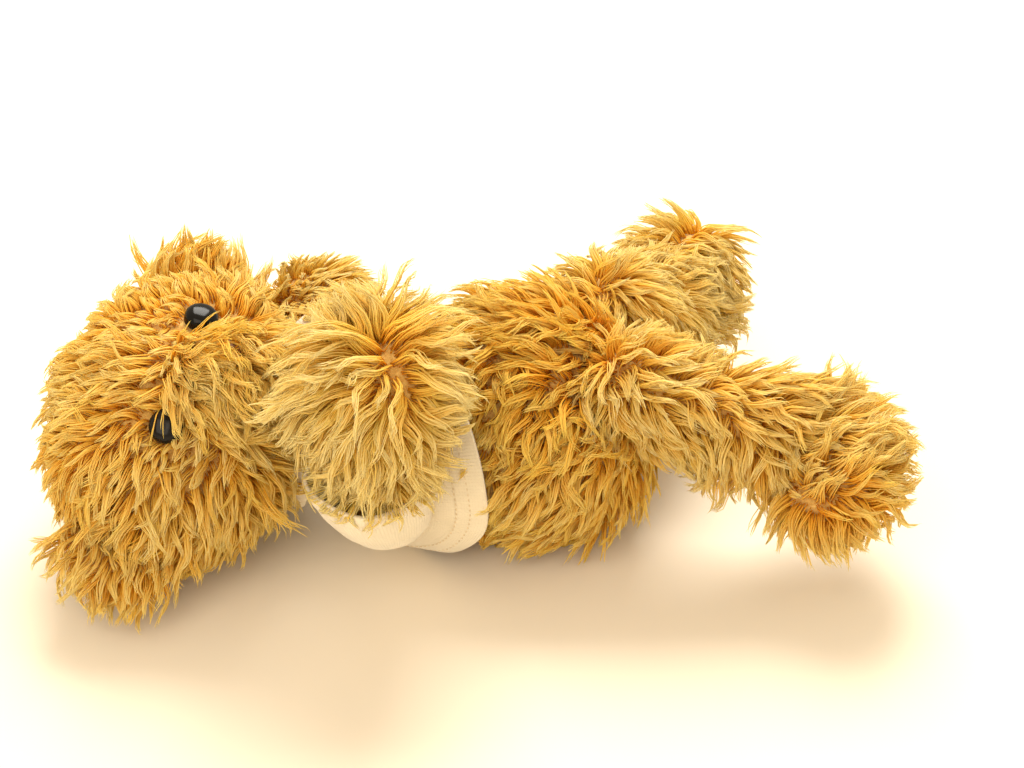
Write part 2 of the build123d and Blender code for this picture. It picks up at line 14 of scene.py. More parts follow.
import bpy
import numpy as np
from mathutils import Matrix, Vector

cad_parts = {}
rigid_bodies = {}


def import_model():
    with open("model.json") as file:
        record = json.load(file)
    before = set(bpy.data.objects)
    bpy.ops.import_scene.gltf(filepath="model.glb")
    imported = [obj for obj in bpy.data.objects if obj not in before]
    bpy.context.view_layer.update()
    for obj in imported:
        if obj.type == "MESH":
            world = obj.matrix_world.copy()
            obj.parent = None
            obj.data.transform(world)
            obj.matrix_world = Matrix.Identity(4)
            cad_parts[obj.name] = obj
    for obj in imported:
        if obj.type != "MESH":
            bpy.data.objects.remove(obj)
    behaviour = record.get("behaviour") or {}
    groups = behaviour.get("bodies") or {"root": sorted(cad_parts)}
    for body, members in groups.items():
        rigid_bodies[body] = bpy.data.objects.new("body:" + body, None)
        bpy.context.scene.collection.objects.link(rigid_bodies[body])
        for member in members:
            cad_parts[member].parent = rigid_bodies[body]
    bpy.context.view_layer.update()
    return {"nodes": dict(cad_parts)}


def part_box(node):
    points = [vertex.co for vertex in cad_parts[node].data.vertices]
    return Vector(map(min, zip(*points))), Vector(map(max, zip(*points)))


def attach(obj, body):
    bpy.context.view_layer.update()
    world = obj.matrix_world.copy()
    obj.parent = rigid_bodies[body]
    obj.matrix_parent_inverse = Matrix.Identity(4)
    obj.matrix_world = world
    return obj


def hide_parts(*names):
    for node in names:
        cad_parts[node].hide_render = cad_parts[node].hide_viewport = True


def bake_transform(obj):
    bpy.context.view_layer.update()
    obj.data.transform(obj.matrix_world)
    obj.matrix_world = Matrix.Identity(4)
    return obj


MM = 0.001
UP = np.array((0.0, 0.0, 1.0))
GOLDEN_ANGLE = math.pi * (3 - 5**0.5)
FIBRES_PER_PIECE = 4800
BACKING_DEPTH = 2.4
BACKING_REST = 0.1
LOWEST_ROOT = 0.3
LOWEST_TIP = 0.25
TIP_DISORDER = 0.9
FIBRE_TAPER = 0.85
STRAY_SEED = 500
STRAY_SHARE = 0.07
CLOTH_THICKNESS = 0.7
CLOTH_REST = 0.06
COVER = 2.0
CLOTH_MAP = "Cloth"
BAKE_MAP = "OFBake"

Array = np.ndarray
Point = tuple[float, float, float]

log = logging.getLogger("bear")


def unit(vectors: Array) -> Array:
    """Vectors of length one, along the last axis."""
    length = np.linalg.norm(vectors, axis=-1, keepdims=True)
    return vectors / np.maximum(length, 1e-9)


def across(vectors: Array, normals: Array) -> Array:
    """What is left of vectors in the plane that each normal stands on, at length one."""
    return unit(vectors - normals * np.sum(vectors * normals, axis=-1, keepdims=True))


def smooth_step(value: Array, low: float, high: float) -> Array:
    """Rises smoothly from 0 at low to 1 at high."""
    share = np.clip((value - low) / (high - low), 0, 1)
    return share * share * (3 - 2 * share)


def ripple(points: Array, wavelength: float, seed: int) -> Array:
    """A smooth random field of about -1 to 1.

    Args:
        points: Places in millimetres, along the last axis.
        wavelength: The field's typical wavelength in millimetres.
        seed: Chooses the field.

    Returns:
        One value for each point.
    """
    rng = np.random.default_rng(seed)
    total = np.zeros(points.shape[:-1])
    for _ in range(6):
        wave = unit(rng.normal(size=3)) * (2 * math.pi / wavelength) * rng.uniform(0.6, 1.5)
        total += np.sin(points @ wave + rng.uniform(0, 2 * math.pi))
    return total / 2.6


def about_axis(points: Array, base: Array, along: Array) -> tuple[Array, Array]:
    """Each point's station on an axis through base, and the vector from the axis to the point."""
    offset = points - np.array(base)
    station = offset @ along
    return station, offset - station[..., None] * along


def in_oval(points: Array, centre: Array, along: Array, half_length: float, radius: float) -> Array:
    """True for points inside an oval of revolution about along."""
    station, radial = about_axis(points, centre, along)
    return (station / half_length) ** 2 + (np.linalg.norm(radial, axis=1) / radius) ** 2 < 1


def in_seam(points: Array, centre: Point, parting: Point, half_width: float, reach: float) -> Array:
    """True for points in a seam through centre, across the direction in which its pile parts."""
    offset = points - np.array(centre)
    beside = np.abs(offset @ unit(np.array(parting))) < half_width
    return beside & (np.linalg.norm(offset, axis=1) < reach)


# ---------------------------------------------------------------- forms


@dataclass(frozen=True)
class TurnedForm:
    """A form turned about an axis through base. Stations run along the axis."""

    base: Point
    along: Point

    def axes(self) -> tuple[Array, Array, Array]:
        """Two directions across the axis, and the axis."""
        along = unit(np.array(self.along, float))
        reference = UP if abs(along[2]) < 0.9 else np.array((1.0, 0.0, 0.0))
        side = unit(np.cross(along, reference))
        return side, np.cross(along, side), along

    def ends(self) -> tuple[float, float]:
        """The first and the last station."""
        raise NotImplementedError

    def radius_at(self, station: Array) -> Array:
        """The radius at each station."""
        raise NotImplementedError

    def surface(self, station: Array, angle: Array, outset: float = 0.0) -> tuple[Array, Array]:
        """Points on the form and their outward normals.

        Args:
            station: Places along the axis.
            angle: Angles about it, in radians.
            outset: How far outside the form the points lie, along the normal.

        Returns:
            The points and the normals, with one row for each station.
        """
        side, third, along = self.axes()
        low, high = self.ends()
        step = (high - low) * 1e-3
        inner = np.clip(station, low + step, high - step)
        slope = (self.radius_at(inner + step) - self.radius_at(inner - step)) / (2 * step)
        outward = np.cos(angle)[..., None] * side + np.sin(angle)[..., None] * third
        normal = unit(outward - slope[..., None] * along)
        radius = self.radius_at(station)
        point = np.array(self.base) + station[..., None] * along + radius[..., None] * outward
        return point + normal * np.asarray(outset, dtype=float)[..., None], normal

    def scatter(self, spacing: float, rng: np.random.Generator) -> tuple[Array, Array]:
        """Evenly spread places on the form, slightly disordered.

        Args:
            spacing: The distance between neighbours in millimetres.
            rng: The source of the disorder.

        Returns:
            The stations and the angles of the places.
        """
        low, high = self.ends()
        station = np.linspace(low, high, 400)
        radius = self.radius_at(station)
        slant = np.hypot(np.diff(radius), np.diff(station))
        band = 2 * math.pi * (radius[1:] + radius[:-1]) / 2 * slant
        covered = np.concatenate(([0], np.cumsum(band)))
        count = max(1, int(covered[-1] / spacing**2))
        rank = np.arange(count)
        share = (rank + 0.5 + rng.uniform(-0.5, 0.5, count)) / count
        places = np.interp(share * covered[-1], covered, station)
        return places, rank * GOLDEN_ANGLE + rng.uniform(-0.06, 0.06, count)

    def holds(self, points: Array) -> Array:
        """True for points that lie inside the form."""
        station, radial = about_axis(points, self.base, self.axes()[2])
        distance = np.linalg.norm(radial, axis=-1)
        low, high = self.ends()
        return (station > low) & (station < high) & (distance < self.radius_at(np.clip(station, low, high)))

    def push_out(self, points: Array, clearance: float) -> Array:
        """Moves points that lie inside the form straight out from its axis.

        Args:
            points: Places along the last axis.
            clearance: How far outside the form they have to be.

        Returns:
            The points, with those that were inside moved.
        """
        along = self.axes()[2]
        station, radial = about_axis(points, self.base, along)
        distance = np.linalg.norm(radial, axis=-1)
        low, high = self.ends()
        inside = (station > low) & (station < high)
        wanted = np.where(inside, self.radius_at(np.clip(station, low, high)) + clearance, 0)
        grow = np.maximum(wanted / np.maximum(distance, 1e-6), 1)
        return np.array(self.base) + station[..., None] * along + radial * grow[..., None]


@dataclass(frozen=True)
class Oval(TurnedForm):
    """An oval of revolution."""

    half_length: float
    radius: float

    def ends(self) -> tuple[float, float]:
        """The first and the last station."""
        return -self.half_length, self.half_length

    def radius_at(self, station: Array) -> Array:
        """The radius at each station."""
        share = np.clip(1 - (station / self.half_length) ** 2, 0, None)
        return self.radius * np.sqrt(share)


@dataclass(frozen=True)
class Limb(TurnedForm):
    """A limb with two round ends, narrowest halfway."""

    length: float
    root_radius: float
    waist_radius: float
    end_radius: float

    def ends(self) -> tuple[float, float]:
        """The first and the last station."""
        return -self.root_radius, self.length

    def radius_at(self, station: Array) -> Array:
        """The radius at each station."""
        far = self.length - self.end_radius
        share = np.clip(station / far, 0, 1)
        half = np.where(share < 0.5, self.root_radius, self.end_radius)
        middle = half + (self.waist_radius - half) * np.sin(share * math.pi) ** 2
        root = np.sqrt(np.clip(self.root_radius**2 - np.minimum(station, 0) ** 2, 0, None))
        end = np.sqrt(np.clip(self.end_radius**2 - np.maximum(station - far, 0) ** 2, 0, None))
        return np.where(station < 0, root, np.where(station > far, end, middle))


@dataclass(frozen=True)
class PearForm(TurnedForm):
    """The torso: a smooth profile through its knots, with a round shoulder and a round tail."""

    profile: tuple[tuple[float, float], ...]
    neck_station: float
    tail_station: float
    outset: float = 0.0
    end_slopes: tuple[float, float] = (0.8, -1.1)

    def ends(self) -> tuple[float, float]:
        """The first and the last station."""
        return self.neck_station - self.outset, self.tail_station + self.outset

    def radius_at(self, station: Array) -> Array:
        """The radius at each station."""
        knots = np.array(self.profile, float)
        places, sizes = knots[:, 0], knots[:, 1] + self.outset
        low, high = self.ends()
        slopes = np.gradient(sizes, places)
        slopes[0], slopes[-1] = self.end_slopes
        index = np.clip(np.searchsorted(places, station) - 1, 0, len(places) - 2)
        width = places[index + 1] - places[index]
        t = np.clip((station - places[index]) / width, 0, 1)
        middle = (
            (2 * t**3 - 3 * t**2 + 1) * sizes[index]
            + (t**3 - 2 * t**2 + t) * width * slopes[index]
            + (3 * t**2 - 2 * t**3) * sizes[index + 1]
            + (t**3 - t**2) * width * slopes[index + 1]
        )
        start = np.clip((places[0] - station) / (places[0] - low), 0, 1)
        finish = np.clip((station - places[-1]) / (high - places[-1]), 0, 1)
        return middle * np.sqrt(np.clip(1 - np.maximum(start, finish) ** 2, 0, None))


@dataclass(frozen=True)
class SleeveForm(TurnedForm):
    """A short sleeve round an arm's root, which leans as it opens."""

    stations: tuple[float, ...] = (-7.8, -6.6, -4.5, -1.5, 2.0, 5.0, 8.0)
    radii: tuple[float, ...] = (1.5, 3.7, 6.2, 8.3, 9.8, 10.5, 10.9)
    lean: Point = (-2.4, 0.0, 0.0)

    def ends(self) -> tuple[float, float]:
        """The first and the last station."""
        return self.stations[0], self.stations[-1]

    def radius_at(self, station: Array) -> Array:
        """The radius at each station."""
        return np.interp(station, self.stations, self.radii)

    def shift(self, station: Array) -> Array:
        """How far the sleeve's middle lies from the arm's axis."""
        return smooth_step(station, *self.ends())[..., None] * np.array(self.lean)

    def surface(self, station: Array, angle: Array, outset: float = 0.0) -> tuple[Array, Array]:
        """Points on the sleeve and their outward normals."""
        point, normal = super().surface(station, angle, outset)
        return point + self.shift(station), normal

    def sort_fibres(self, lines: Array, gap: float) -> Array:
        """Keeps fibres that start in the sleeve inside it, and the others outside it.

        Args:
            lines: The fibres' points from root to tip.
            gap: How far they stay from the cloth.

        Returns:
            The points, moved towards the sleeve's axis or away from it.
        """
        along = self.axes()[2]
        station = about_axis(lines, self.base, along)[0]
        low, high = self.ends()
        middle = np.array(self.base) + station[..., None] * along + self.shift(station)
        radial = lines - middle
        distance = np.maximum(np.linalg.norm(radial, axis=-1), 1e-6)
        radius = self.radius_at(station)
        starts_inside = station[:, :1] < high + 0.5
        inner = np.minimum(radius - gap - CLOTH_THICKNESS, distance)
        outer = np.maximum(radius + gap, distance)
        wanted = np.where(starts_inside, inner, outer)
        beside = (station > low) & (station < high)
        wanted = np.where(beside, np.maximum(wanted, 0.5), distance)
        return middle + radial * (wanted / distance)[..., None]


# ---------------------------------------------------------------- meshes


def show(name: str, mesh: bpy.types.Mesh) -> bpy.types.Object:
    """A new object of that name with the mesh, shaded smooth and linked to the scene."""
    mesh.shade_smooth()
    thing = bpy.data.objects.new(name, mesh)
    bpy.context.scene.collection.objects.link(thing)
    return thing


def write_mesh(name: str, points: Array, faces: list[tuple[int, ...]]) -> bpy.types.Object:
    """A new object of that name from points in millimetres.

    Args:
        name: The piece's name.
        points: One row for each vertex, in millimetres.
        faces: Each face's vertices.

    Returns:
        The object, linked to the scene and shaded smooth.
    """
    mesh = bpy.data.meshes.new(name)
    mesh.from_pydata((points * MM).tolist(), [], faces)
    mesh.validate()
    return show(name, mesh)


def dress(thing: bpy.types.Object, material: bpy.types.Material) -> bpy.types.Object:
    """Gives an object one material in place of all that it had."""
    thing.data.materials.clear()
    thing.data.materials.append(material)
    return thing


def grid_faces(rows: int, columns: int, closed: bool = False) -> list[tuple[int, ...]]:
    """Four-sided faces of a grid whose rows go round, with the last row joined to the first if closed."""
    return [
        (
            row * columns + column,
            row * columns + (column + 1) % columns,
            (row + 1) % rows * columns + (column + 1) % columns,
            (row + 1) % rows * columns + column,
        )
        for row in range(rows if closed else rows - 1)
        for column in range(columns)
    ]


def turned_points(form: TurnedForm, outset: float, rows: int, columns: int) -> Array:
    """A closed grid over a turned form, denser towards its two ends."""
    low, high = form.ends()
    share = (1 - np.cos(np.linspace(0.02, math.pi - 0.02, rows))) / 2
    station = low + (high - low) * share
    angle = np.linspace(0, 2 * math.pi, columns, endpoint=False)
    return form.surface(np.repeat(station, columns), np.tile(angle, rows), outset)[0]


def cloth_tube(name: str, outer: Array, inner: Array) -> tuple[bpy.types.Object, float]:
    """A tube of cloth with its thickness, and a chart of where its stitches run.

    Args:
        name: The piece's name.
        outer: The outside as a grid of points, shape (rows, columns, 3), with each row going round.
        inner: The inside, in the same order.

    Returns:
        The piece in jersey, and the area of its outside in square millimetres.
    """
    rows, columns = outer.shape[:2]
    grid = np.concatenate((outer, inner[::-1]))
    piece = write_mesh(name, grid.reshape(-1, 3), grid_faces(2 * rows, columns, closed=True))

    down, across_it = np.diff(outer, axis=0), np.roll(outer, -1, axis=1) - outer
    area = float(np.linalg.norm(np.cross(down, across_it[:-1]), axis=2).sum())
    girth = float(np.linalg.norm(across_it, axis=2).sum(axis=1).mean())
    fall = np.concatenate(([0.0], np.cumsum(np.linalg.norm(down, axis=2).mean(axis=1))))
    u = np.tile(np.arange(columns) * girth / columns, 2 * rows)
    v = np.repeat(np.concatenate((fall, fall[::-1])), columns)
    polygons = piece.data.polygons
    corners = np.array([corner for polygon in polygons for corner in polygon.vertices]).reshape(-1, 4)
    place = u[corners]
    wraps = (place.max(axis=1) - place.min(axis=1)) > girth / 2
    place[wraps] = np.where(place[wraps] < girth / 2, place[wraps] + girth, place[wraps])
    chart = np.stack((place.ravel(), v[corners].ravel()), axis=1)
    piece.data.uv_layers.new(name=CLOTH_MAP).data.foreach_set("uv", chart.astype(np.float32).ravel())
    return dress(piece, Finish.JERSEY.material()), area


def fibre_mesh(name: str, lines: Array, radii: Array, shades: Array) -> bpy.types.Object:
    """Closed three-sided fibres, each tapering to a point.

    Args:
        name: The piece's name.
        lines: Each fibre's points from root to tip, shape (fibres, points, 3), in millimetres.
        radii: Each fibre's radius at its root.
        shades: Each fibre's shade, from 0, deep, to 1, pale.

    Returns:
        The object. Its UV map holds the place along the fibre and the shade.
    """
    fibres, count = lines.shape[:2]
    rings = count - 1
    heading = unit(np.gradient(lines, axis=1))
    reference = unit(np.cross(heading[:, :1], np.roll(heading[:, :1], 1, axis=2) + 0.3))
    first = across(np.broadcast_to(reference, heading.shape), heading)
    second = np.cross(heading, first)
    along = np.linspace(0, 1, count)
    taper = np.sqrt(1 - FIBRE_TAPER * along**2)
    size = (radii[:, None] * taper)[..., None]
    corners = []
    for turn in (2 * math.pi * corner / 3 for corner in range(3)):
        outward = math.cos(turn) * first + math.sin(turn) * second
        corners.append(lines + outward * size)
    ring_points = np.stack(corners, axis=2)[:, :rings].reshape(fibres, rings * 3, 3)
    points = np.concatenate((ring_points, lines[:, -1:]), axis=1)
    stride = rings * 3 + 1

    quads = grid_faces(rings, 3)
    last = (rings - 1) * 3
    triangles = [(2, 1, 0)] + [(last + a, last + b, rings * 3) for a, b in ((0, 1), (1, 2), (2, 0))]
    pattern = np.array([v for face in quads + triangles for v in face])
    sizes = np.array([4] * len(quads) + [3] * len(triangles))
    loops = (pattern[None] + (np.arange(fibres) * stride)[:, None]).ravel()
    starts = np.concatenate(([0], np.cumsum(np.tile(sizes, fibres))[:-1]))

    mesh = bpy.data.meshes.new(name)
    mesh.vertices.add(fibres * stride)
    mesh.vertices.foreach_set("co", (points * MM).astype(np.float32).ravel())
    mesh.loops.add(len(loops))
    mesh.loops.foreach_set("vertex_index", loops.astype(np.int32))
    mesh.polygons.add(len(starts))
    mesh.polygons.foreach_set("loop_start", starts.astype(np.int32))
    mesh.update(calc_edges=True)
    place = np.append(np.repeat(along[:rings], 3), 1.0)[pattern]
    sway = np.append(np.tile((-0.004, 0.0, 0.004), rings), 0.0)[pattern]
    across_map = np.clip(shades[:, None] + sway[None], 0.002, 0.998)
    chart = np.stack((np.tile(place, (fibres, 1)), across_map), axis=2)
    mesh.uv_layers.new(name=BAKE_MAP).data.foreach_set("uv", chart.astype(np.float32).ravel())
    return show(name, mesh)


# ---------------------------------------------------------------- finishes


class NodeMaterial:
    """A node material under construction, with one principled shader."""

    def __init__(self, name: str) -> None:
        """Starts an empty material of that name."""
        self.material = bpy.data.materials.new(name)
        self.material.use_nodes = True
        self.tree = self.material.node_tree
        self.shader = self.tree.nodes["Principled BSDF"]

    def add(self, kind: str, **settings: object) -> bpy.types.Node:
        """Adds a node and sets its properties, or its inputs where no property has that name."""
        node = self.tree.nodes.new(kind)
        for key, value in settings.items():
            if hasattr(node, key):
                setattr(node, key, value)
            else:
                node.inputs[key.replace("_", " ")].default_value = value
        return node

    def link(self, source: bpy.types.NodeSocket, target: bpy.types.NodeSocket) -> None:
        """Joins two sockets."""
        self.tree.links.new(source, target)

    def ramp(self, source: bpy.types.NodeSocket, stops: dict[float, Point]) -> bpy.types.NodeSocket:
        """Colours a value through a ramp of place: colour."""
        node = self.add("ShaderNodeValToRGB")
        places = sorted(stops)
        elements = node.color_ramp.elements
        elements[0].position, elements[1].position = places[0], places[-1]
        for place in places[1:-1]:
            elements.new(place)
        for element, place in zip(elements, places):
            element.color = (*stops[place], 1)
        self.link(source, node.inputs["Fac"])
        return node.outputs["Color"]

    def feed(self, sockets: Iterable[bpy.types.NodeSocket], *values: object) -> None:
        """Gives each input its value: a socket, a colour or a number."""
        for socket, value in zip(sockets, values):
            if isinstance(value, bpy.types.NodeSocket):
                self.link(value, socket)
            else:
                socket.default_value = (*value, 1) if isinstance(value, tuple) else value

    def chart(self, name: str) -> tuple[bpy.types.NodeSocket, bpy.types.NodeSocket]:
        """The two coordinates of the UV map of that name."""
        chart = self.add("ShaderNodeUVMap", uv_map=name)
        parts = self.add("ShaderNodeSeparateXYZ")
        self.link(chart.outputs["UV"], parts.inputs["Vector"])
        return parts.outputs["X"], parts.outputs["Y"]

    def math(self, operation: str, first: object, second: object, clamp: bool = False) -> bpy.types.NodeSocket:
        """What an operation makes of two values, each a socket or a number."""
        node = self.add("ShaderNodeMath", operation=operation, use_clamp=clamp)
        self.feed(node.inputs, first, second)
        return node.outputs["Value"]

    def mix(self, share: object, first: object, second: object) -> bpy.types.NodeSocket:
        """Mixes two colours, each a socket or a colour, by a socket or a number."""
        node = self.add("ShaderNodeMix", data_type="RGBA")
        self.feed((node.inputs[0], node.inputs[6], node.inputs[7]), share, first, second)
        return node.outputs[2]

    def noise(self, scale: float, detail: float = 3.0) -> bpy.types.NodeSocket:
        """Fine-grained noise in object space, with scale in waves per metre."""
        where = self.add("ShaderNodeTexCoord")
        node = self.add("ShaderNodeTexNoise", Scale=scale, Detail=detail)
        self.link(where.outputs["Object"], node.inputs["Vector"])
        return node.outputs["Fac"]

    def paint(self, source: bpy.types.NodeSocket, stops: dict[float, Point]) -> None:
        """Colours the surface through a ramp of place: colour."""
        self.link(self.ramp(source, stops), self.shader.inputs["Base Color"])

    def bump(self, height: bpy.types.NodeSocket, strength: float, depth: float) -> None:
        """Raises the surface by a height value."""
        node = self.add("ShaderNodeBump", Strength=strength, Distance=depth)
        self.link(height, node.inputs["Height"])
        self.link(node.outputs["Normal"], self.shader.inputs["Normal"])

    def finish(self, roughness: float, **inputs: float) -> bpy.types.Material:
        """Sets the shader's own sockets and hands the material over."""
        self.shader.inputs["Roughness"].default_value = roughness
        for key, value in inputs.items():
            self.shader.inputs[key.replace("_", " ")].default_value = value
        return self.material


@dataclass(frozen=True)
class PileFinish:
    """Plush pile: deep at the root, pale at the tip, and varied from lock to lock. The root-to-tip ramp is
    partly the fibre's own tone and partly painted shade deep in the pile and painted highlight on the tips.
    """

    name: str = "plush_pile"
    root: Point = (0.90, 0.39, 0.008)
    middle: Point = (1.0, 0.59, 0.035)
    tip: Point = (1.0, 0.78, 0.16)
    pale: Point = (1.0, 0.88, 0.46)
    glow: float = 0.5

    def make(self) -> bpy.types.Material:
        """Builds the material."""
        nodes = NodeMaterial(self.name)
        place, shade = nodes.chart(BAKE_MAP)
        # Deep roots are partly painted shade within the pile; pale tips are partly painted highlight.
        body = nodes.ramp(place, {0.0: self.root, 0.35: self.middle, 0.85: self.tip, 1.0: self.tip})
        pale = nodes.ramp(place, {0.0: self.middle, 0.3: self.tip, 0.9: self.pale, 1.0: self.pale})
        grain = nodes.add("ShaderNodeTexNoise", noise_dimensions="1D", Scale=1.0, Detail=1.0)
        nodes.link(nodes.math("MULTIPLY", shade, 90.0), grain.inputs["W"])
        share = nodes.math("ADD", shade, nodes.math("MULTIPLY", grain.outputs["Fac"], 0.35))
        colour = nodes.mix(nodes.math("SUBTRACT", share, 0.17, clamp=True), body, pale)
        nodes.link(colour, nodes.shader.inputs["Base Color"])
        through = nodes.add("ShaderNodeBsdfTranslucent")
        nodes.link(colour, through.inputs["Color"])
        both = nodes.add("ShaderNodeMixShader", Fac=self.glow)
        nodes.link(nodes.shader.outputs["BSDF"], both.inputs[1])
        nodes.link(through.outputs["BSDF"], both.inputs[2])
        nodes.link(both.outputs["Shader"], nodes.tree.nodes["Material Output"].inputs["Surface"])
        return nodes.finish(0.6, Specular_IOR_Level=0.2)


@dataclass(frozen=True)
class BackingFinish:
    """The plush's knitted backing with the short fluff between its locks, coloured in dark browns as painted
    shade between the locks.
    """

    name: str = "backing_painted_shade"
    # Both tones are painted shade: dark browns that show as the shade in the gaps between the locks.
    deep: Point = (0.44, 0.20, 0.02)
    paler_shade: Point = (0.74, 0.46, 0.12)

    def make(self) -> bpy.types.Material:
        """Builds the material."""
        nodes = NodeMaterial(self.name)
        nodes.paint(nodes.noise(900.0, 5.0), {0.3: self.deep, 0.7: self.paler_shade})
        nodes.bump(nodes.noise(2600.0, 4.0), 0.8, 0.0004)
        return nodes.finish(0.9, Sheen_Weight=0.2)


@dataclass(frozen=True)
class JerseyFinish:
    """Fine cream jersey with its columns and courses of stitches."""

    name: str = "jersey"
    light: Point = (0.73, 0.62, 0.44)
    shade: Point = (0.68, 0.57, 0.39)
    column_width: float = 0.5
    course_height: float = 0.42

    def make(self) -> bpy.types.Material:
        """Builds the material."""
        nodes = NodeMaterial(self.name)
        nodes.paint(nodes.noise(160.0, 3.0), {0.3: self.shade, 0.7: self.light})
        column, course = (
            nodes.math("SINE", nodes.math("MULTIPLY", place, 2 * math.pi / pitch), 0.0)
            for place, pitch in zip(nodes.chart(CLOTH_MAP), (self.column_width, self.course_height))
        )
        weave = nodes.math("ADD", column, nodes.math("MULTIPLY", course, 0.5))
        height = nodes.math("ADD", weave, nodes.noise(5200.0, 2.0))
        nodes.bump(height, 0.4, 0.00006)
        return nodes.finish(0.85, Sheen_Weight=0.25, Sheen_Roughness=0.5)


@dataclass(frozen=True)
class PlainFinish:
    """A moulded, sewn or metal finish with a fine grain of its own."""

    name: str
    colour: Point
    other: Point
    grain: float
    roughness: float
    relief: float = 0.0001
    metallic: float = 0.0
    specular: float = 0.5

    def make(self) -> bpy.types.Material:
        """Builds the material."""
        nodes = NodeMaterial(self.name)
        nodes.paint(nodes.noise(self.grain, 3.0), {0.35: self.colour, 0.65: self.other})
        nodes.bump(nodes.noise(self.grain * 4, 2.0), 0.3, self.relief)
        return nodes.finish(self.roughness, Metallic=self.metallic, Specular_IOR_Level=self.specular)


class Finish(Enum):
    """Every finish on the bear."""

    PILE = PileFinish()
    BACKING = BackingFinish()
    JERSEY = JerseyFinish()
    EYE = PlainFinish("eye_gloss", (0.006, 0.005, 0.004), (0.012, 0.009, 0.007),
                      grain=80.0, roughness=0.15, relief=0.00001, specular=0.15)
    WASHER = PlainFinish("washer", (0.80, 0.80, 0.77), (0.74, 0.74, 0.71), grain=300.0, roughness=0.5)
    NOSE = PlainFinish("nose_thread", (0.20, 0.095, 0.03), (0.28, 0.14, 0.05), grain=1500.0, roughness=0.7)
    FILLING = PlainFinish("fibre_filling", (0.90, 0.89, 0.85), (0.82, 0.81, 0.77),
                          grain=500.0, roughness=0.95, relief=0.0004)
    TAPE = PlainFinish("woven_tape", (0.80, 0.72, 0.58), (0.70, 0.62, 0.48),
                       grain=2200.0, roughness=0.8, relief=0.0002)
    # Tan thread, darker than the jersey: partly the thread's own tone and partly painted shade of the stitch
    # holes.
    STITCH = PlainFinish("stitch_thread_and_hole_shade", (0.72, 0.56, 0.34), (0.62, 0.46, 0.27), grain=3000.0, roughness=0.8)
    STEEL = PlainFinish("bright_steel", (0.74, 0.73, 0.70), (0.66, 0.65, 0.62),
                        grain=700.0, roughness=0.25, relief=0.00002, metallic=1.0)

    def material(self) -> bpy.types.Material:
        """The finish's material, built the first time that it is asked for."""
        return bpy.data.materials.get(self.value.name) or self.value.make()


# ---------------------------------------------------------------- pile


@dataclass(frozen=True)
class Comb:
    """The way that pile lies: off a centre, along a direction, downhill, off a parting, round clearings."""

    centre: Point = (0.0, 0.0, 0.0)
    away: float = 0.0
    along: Point = (0.0, 0.0, 0.0)
    fall: float = 0.0
    tousle: float = 0.6
    parting: Point = (0.0, 0.0, 0.0)
    parting_reach: float = 12.0
    clearings: tuple[Point, ...] = ()
    clearing_reach: float = 8.0
    clearing_strength: float = 2.5

    def heading(self, points: Array, normals: Array, rng: np.random.Generator) -> Array:
        """The direction that the pile lies in at each root, in the surface.

        Args:
            points: The roots.
            normals: The surface's normals there.
            rng: The source of each lock's own turn.

        Returns:
            One direction of length one for each root.
        """
        offset = points - np.array(self.centre)
        parting = np.array(self.parting)
        near = np.exp(-((np.linalg.norm(offset, axis=1) / self.parting_reach) ** 2))
        parted = (np.tanh(offset @ parting) * near)[:, None] * parting
        flow = self.away * unit(offset) + np.array(self.along) - self.fall * UP + 2 * parted
        for place in self.clearings:
            away = points - np.array(place)
            nearness = np.exp(-np.sum(away**2, axis=1) / self.clearing_reach**2)[:, None]
            flow = flow + self.clearing_strength * nearness * unit(away)
        flow = across(flow + 1e-4, normals)
        swirl = ripple(points, 17.0, 5) + 0.6 * ripple(points, 7.0, 6)
        turn = self.tousle * (0.7 * swirl + 0.4 * rng.normal(size=len(points)))
        sideways = np.cross(normals, flow)
        return flow * np.cos(turn)[:, None] + sideways * np.sin(turn)[:, None]


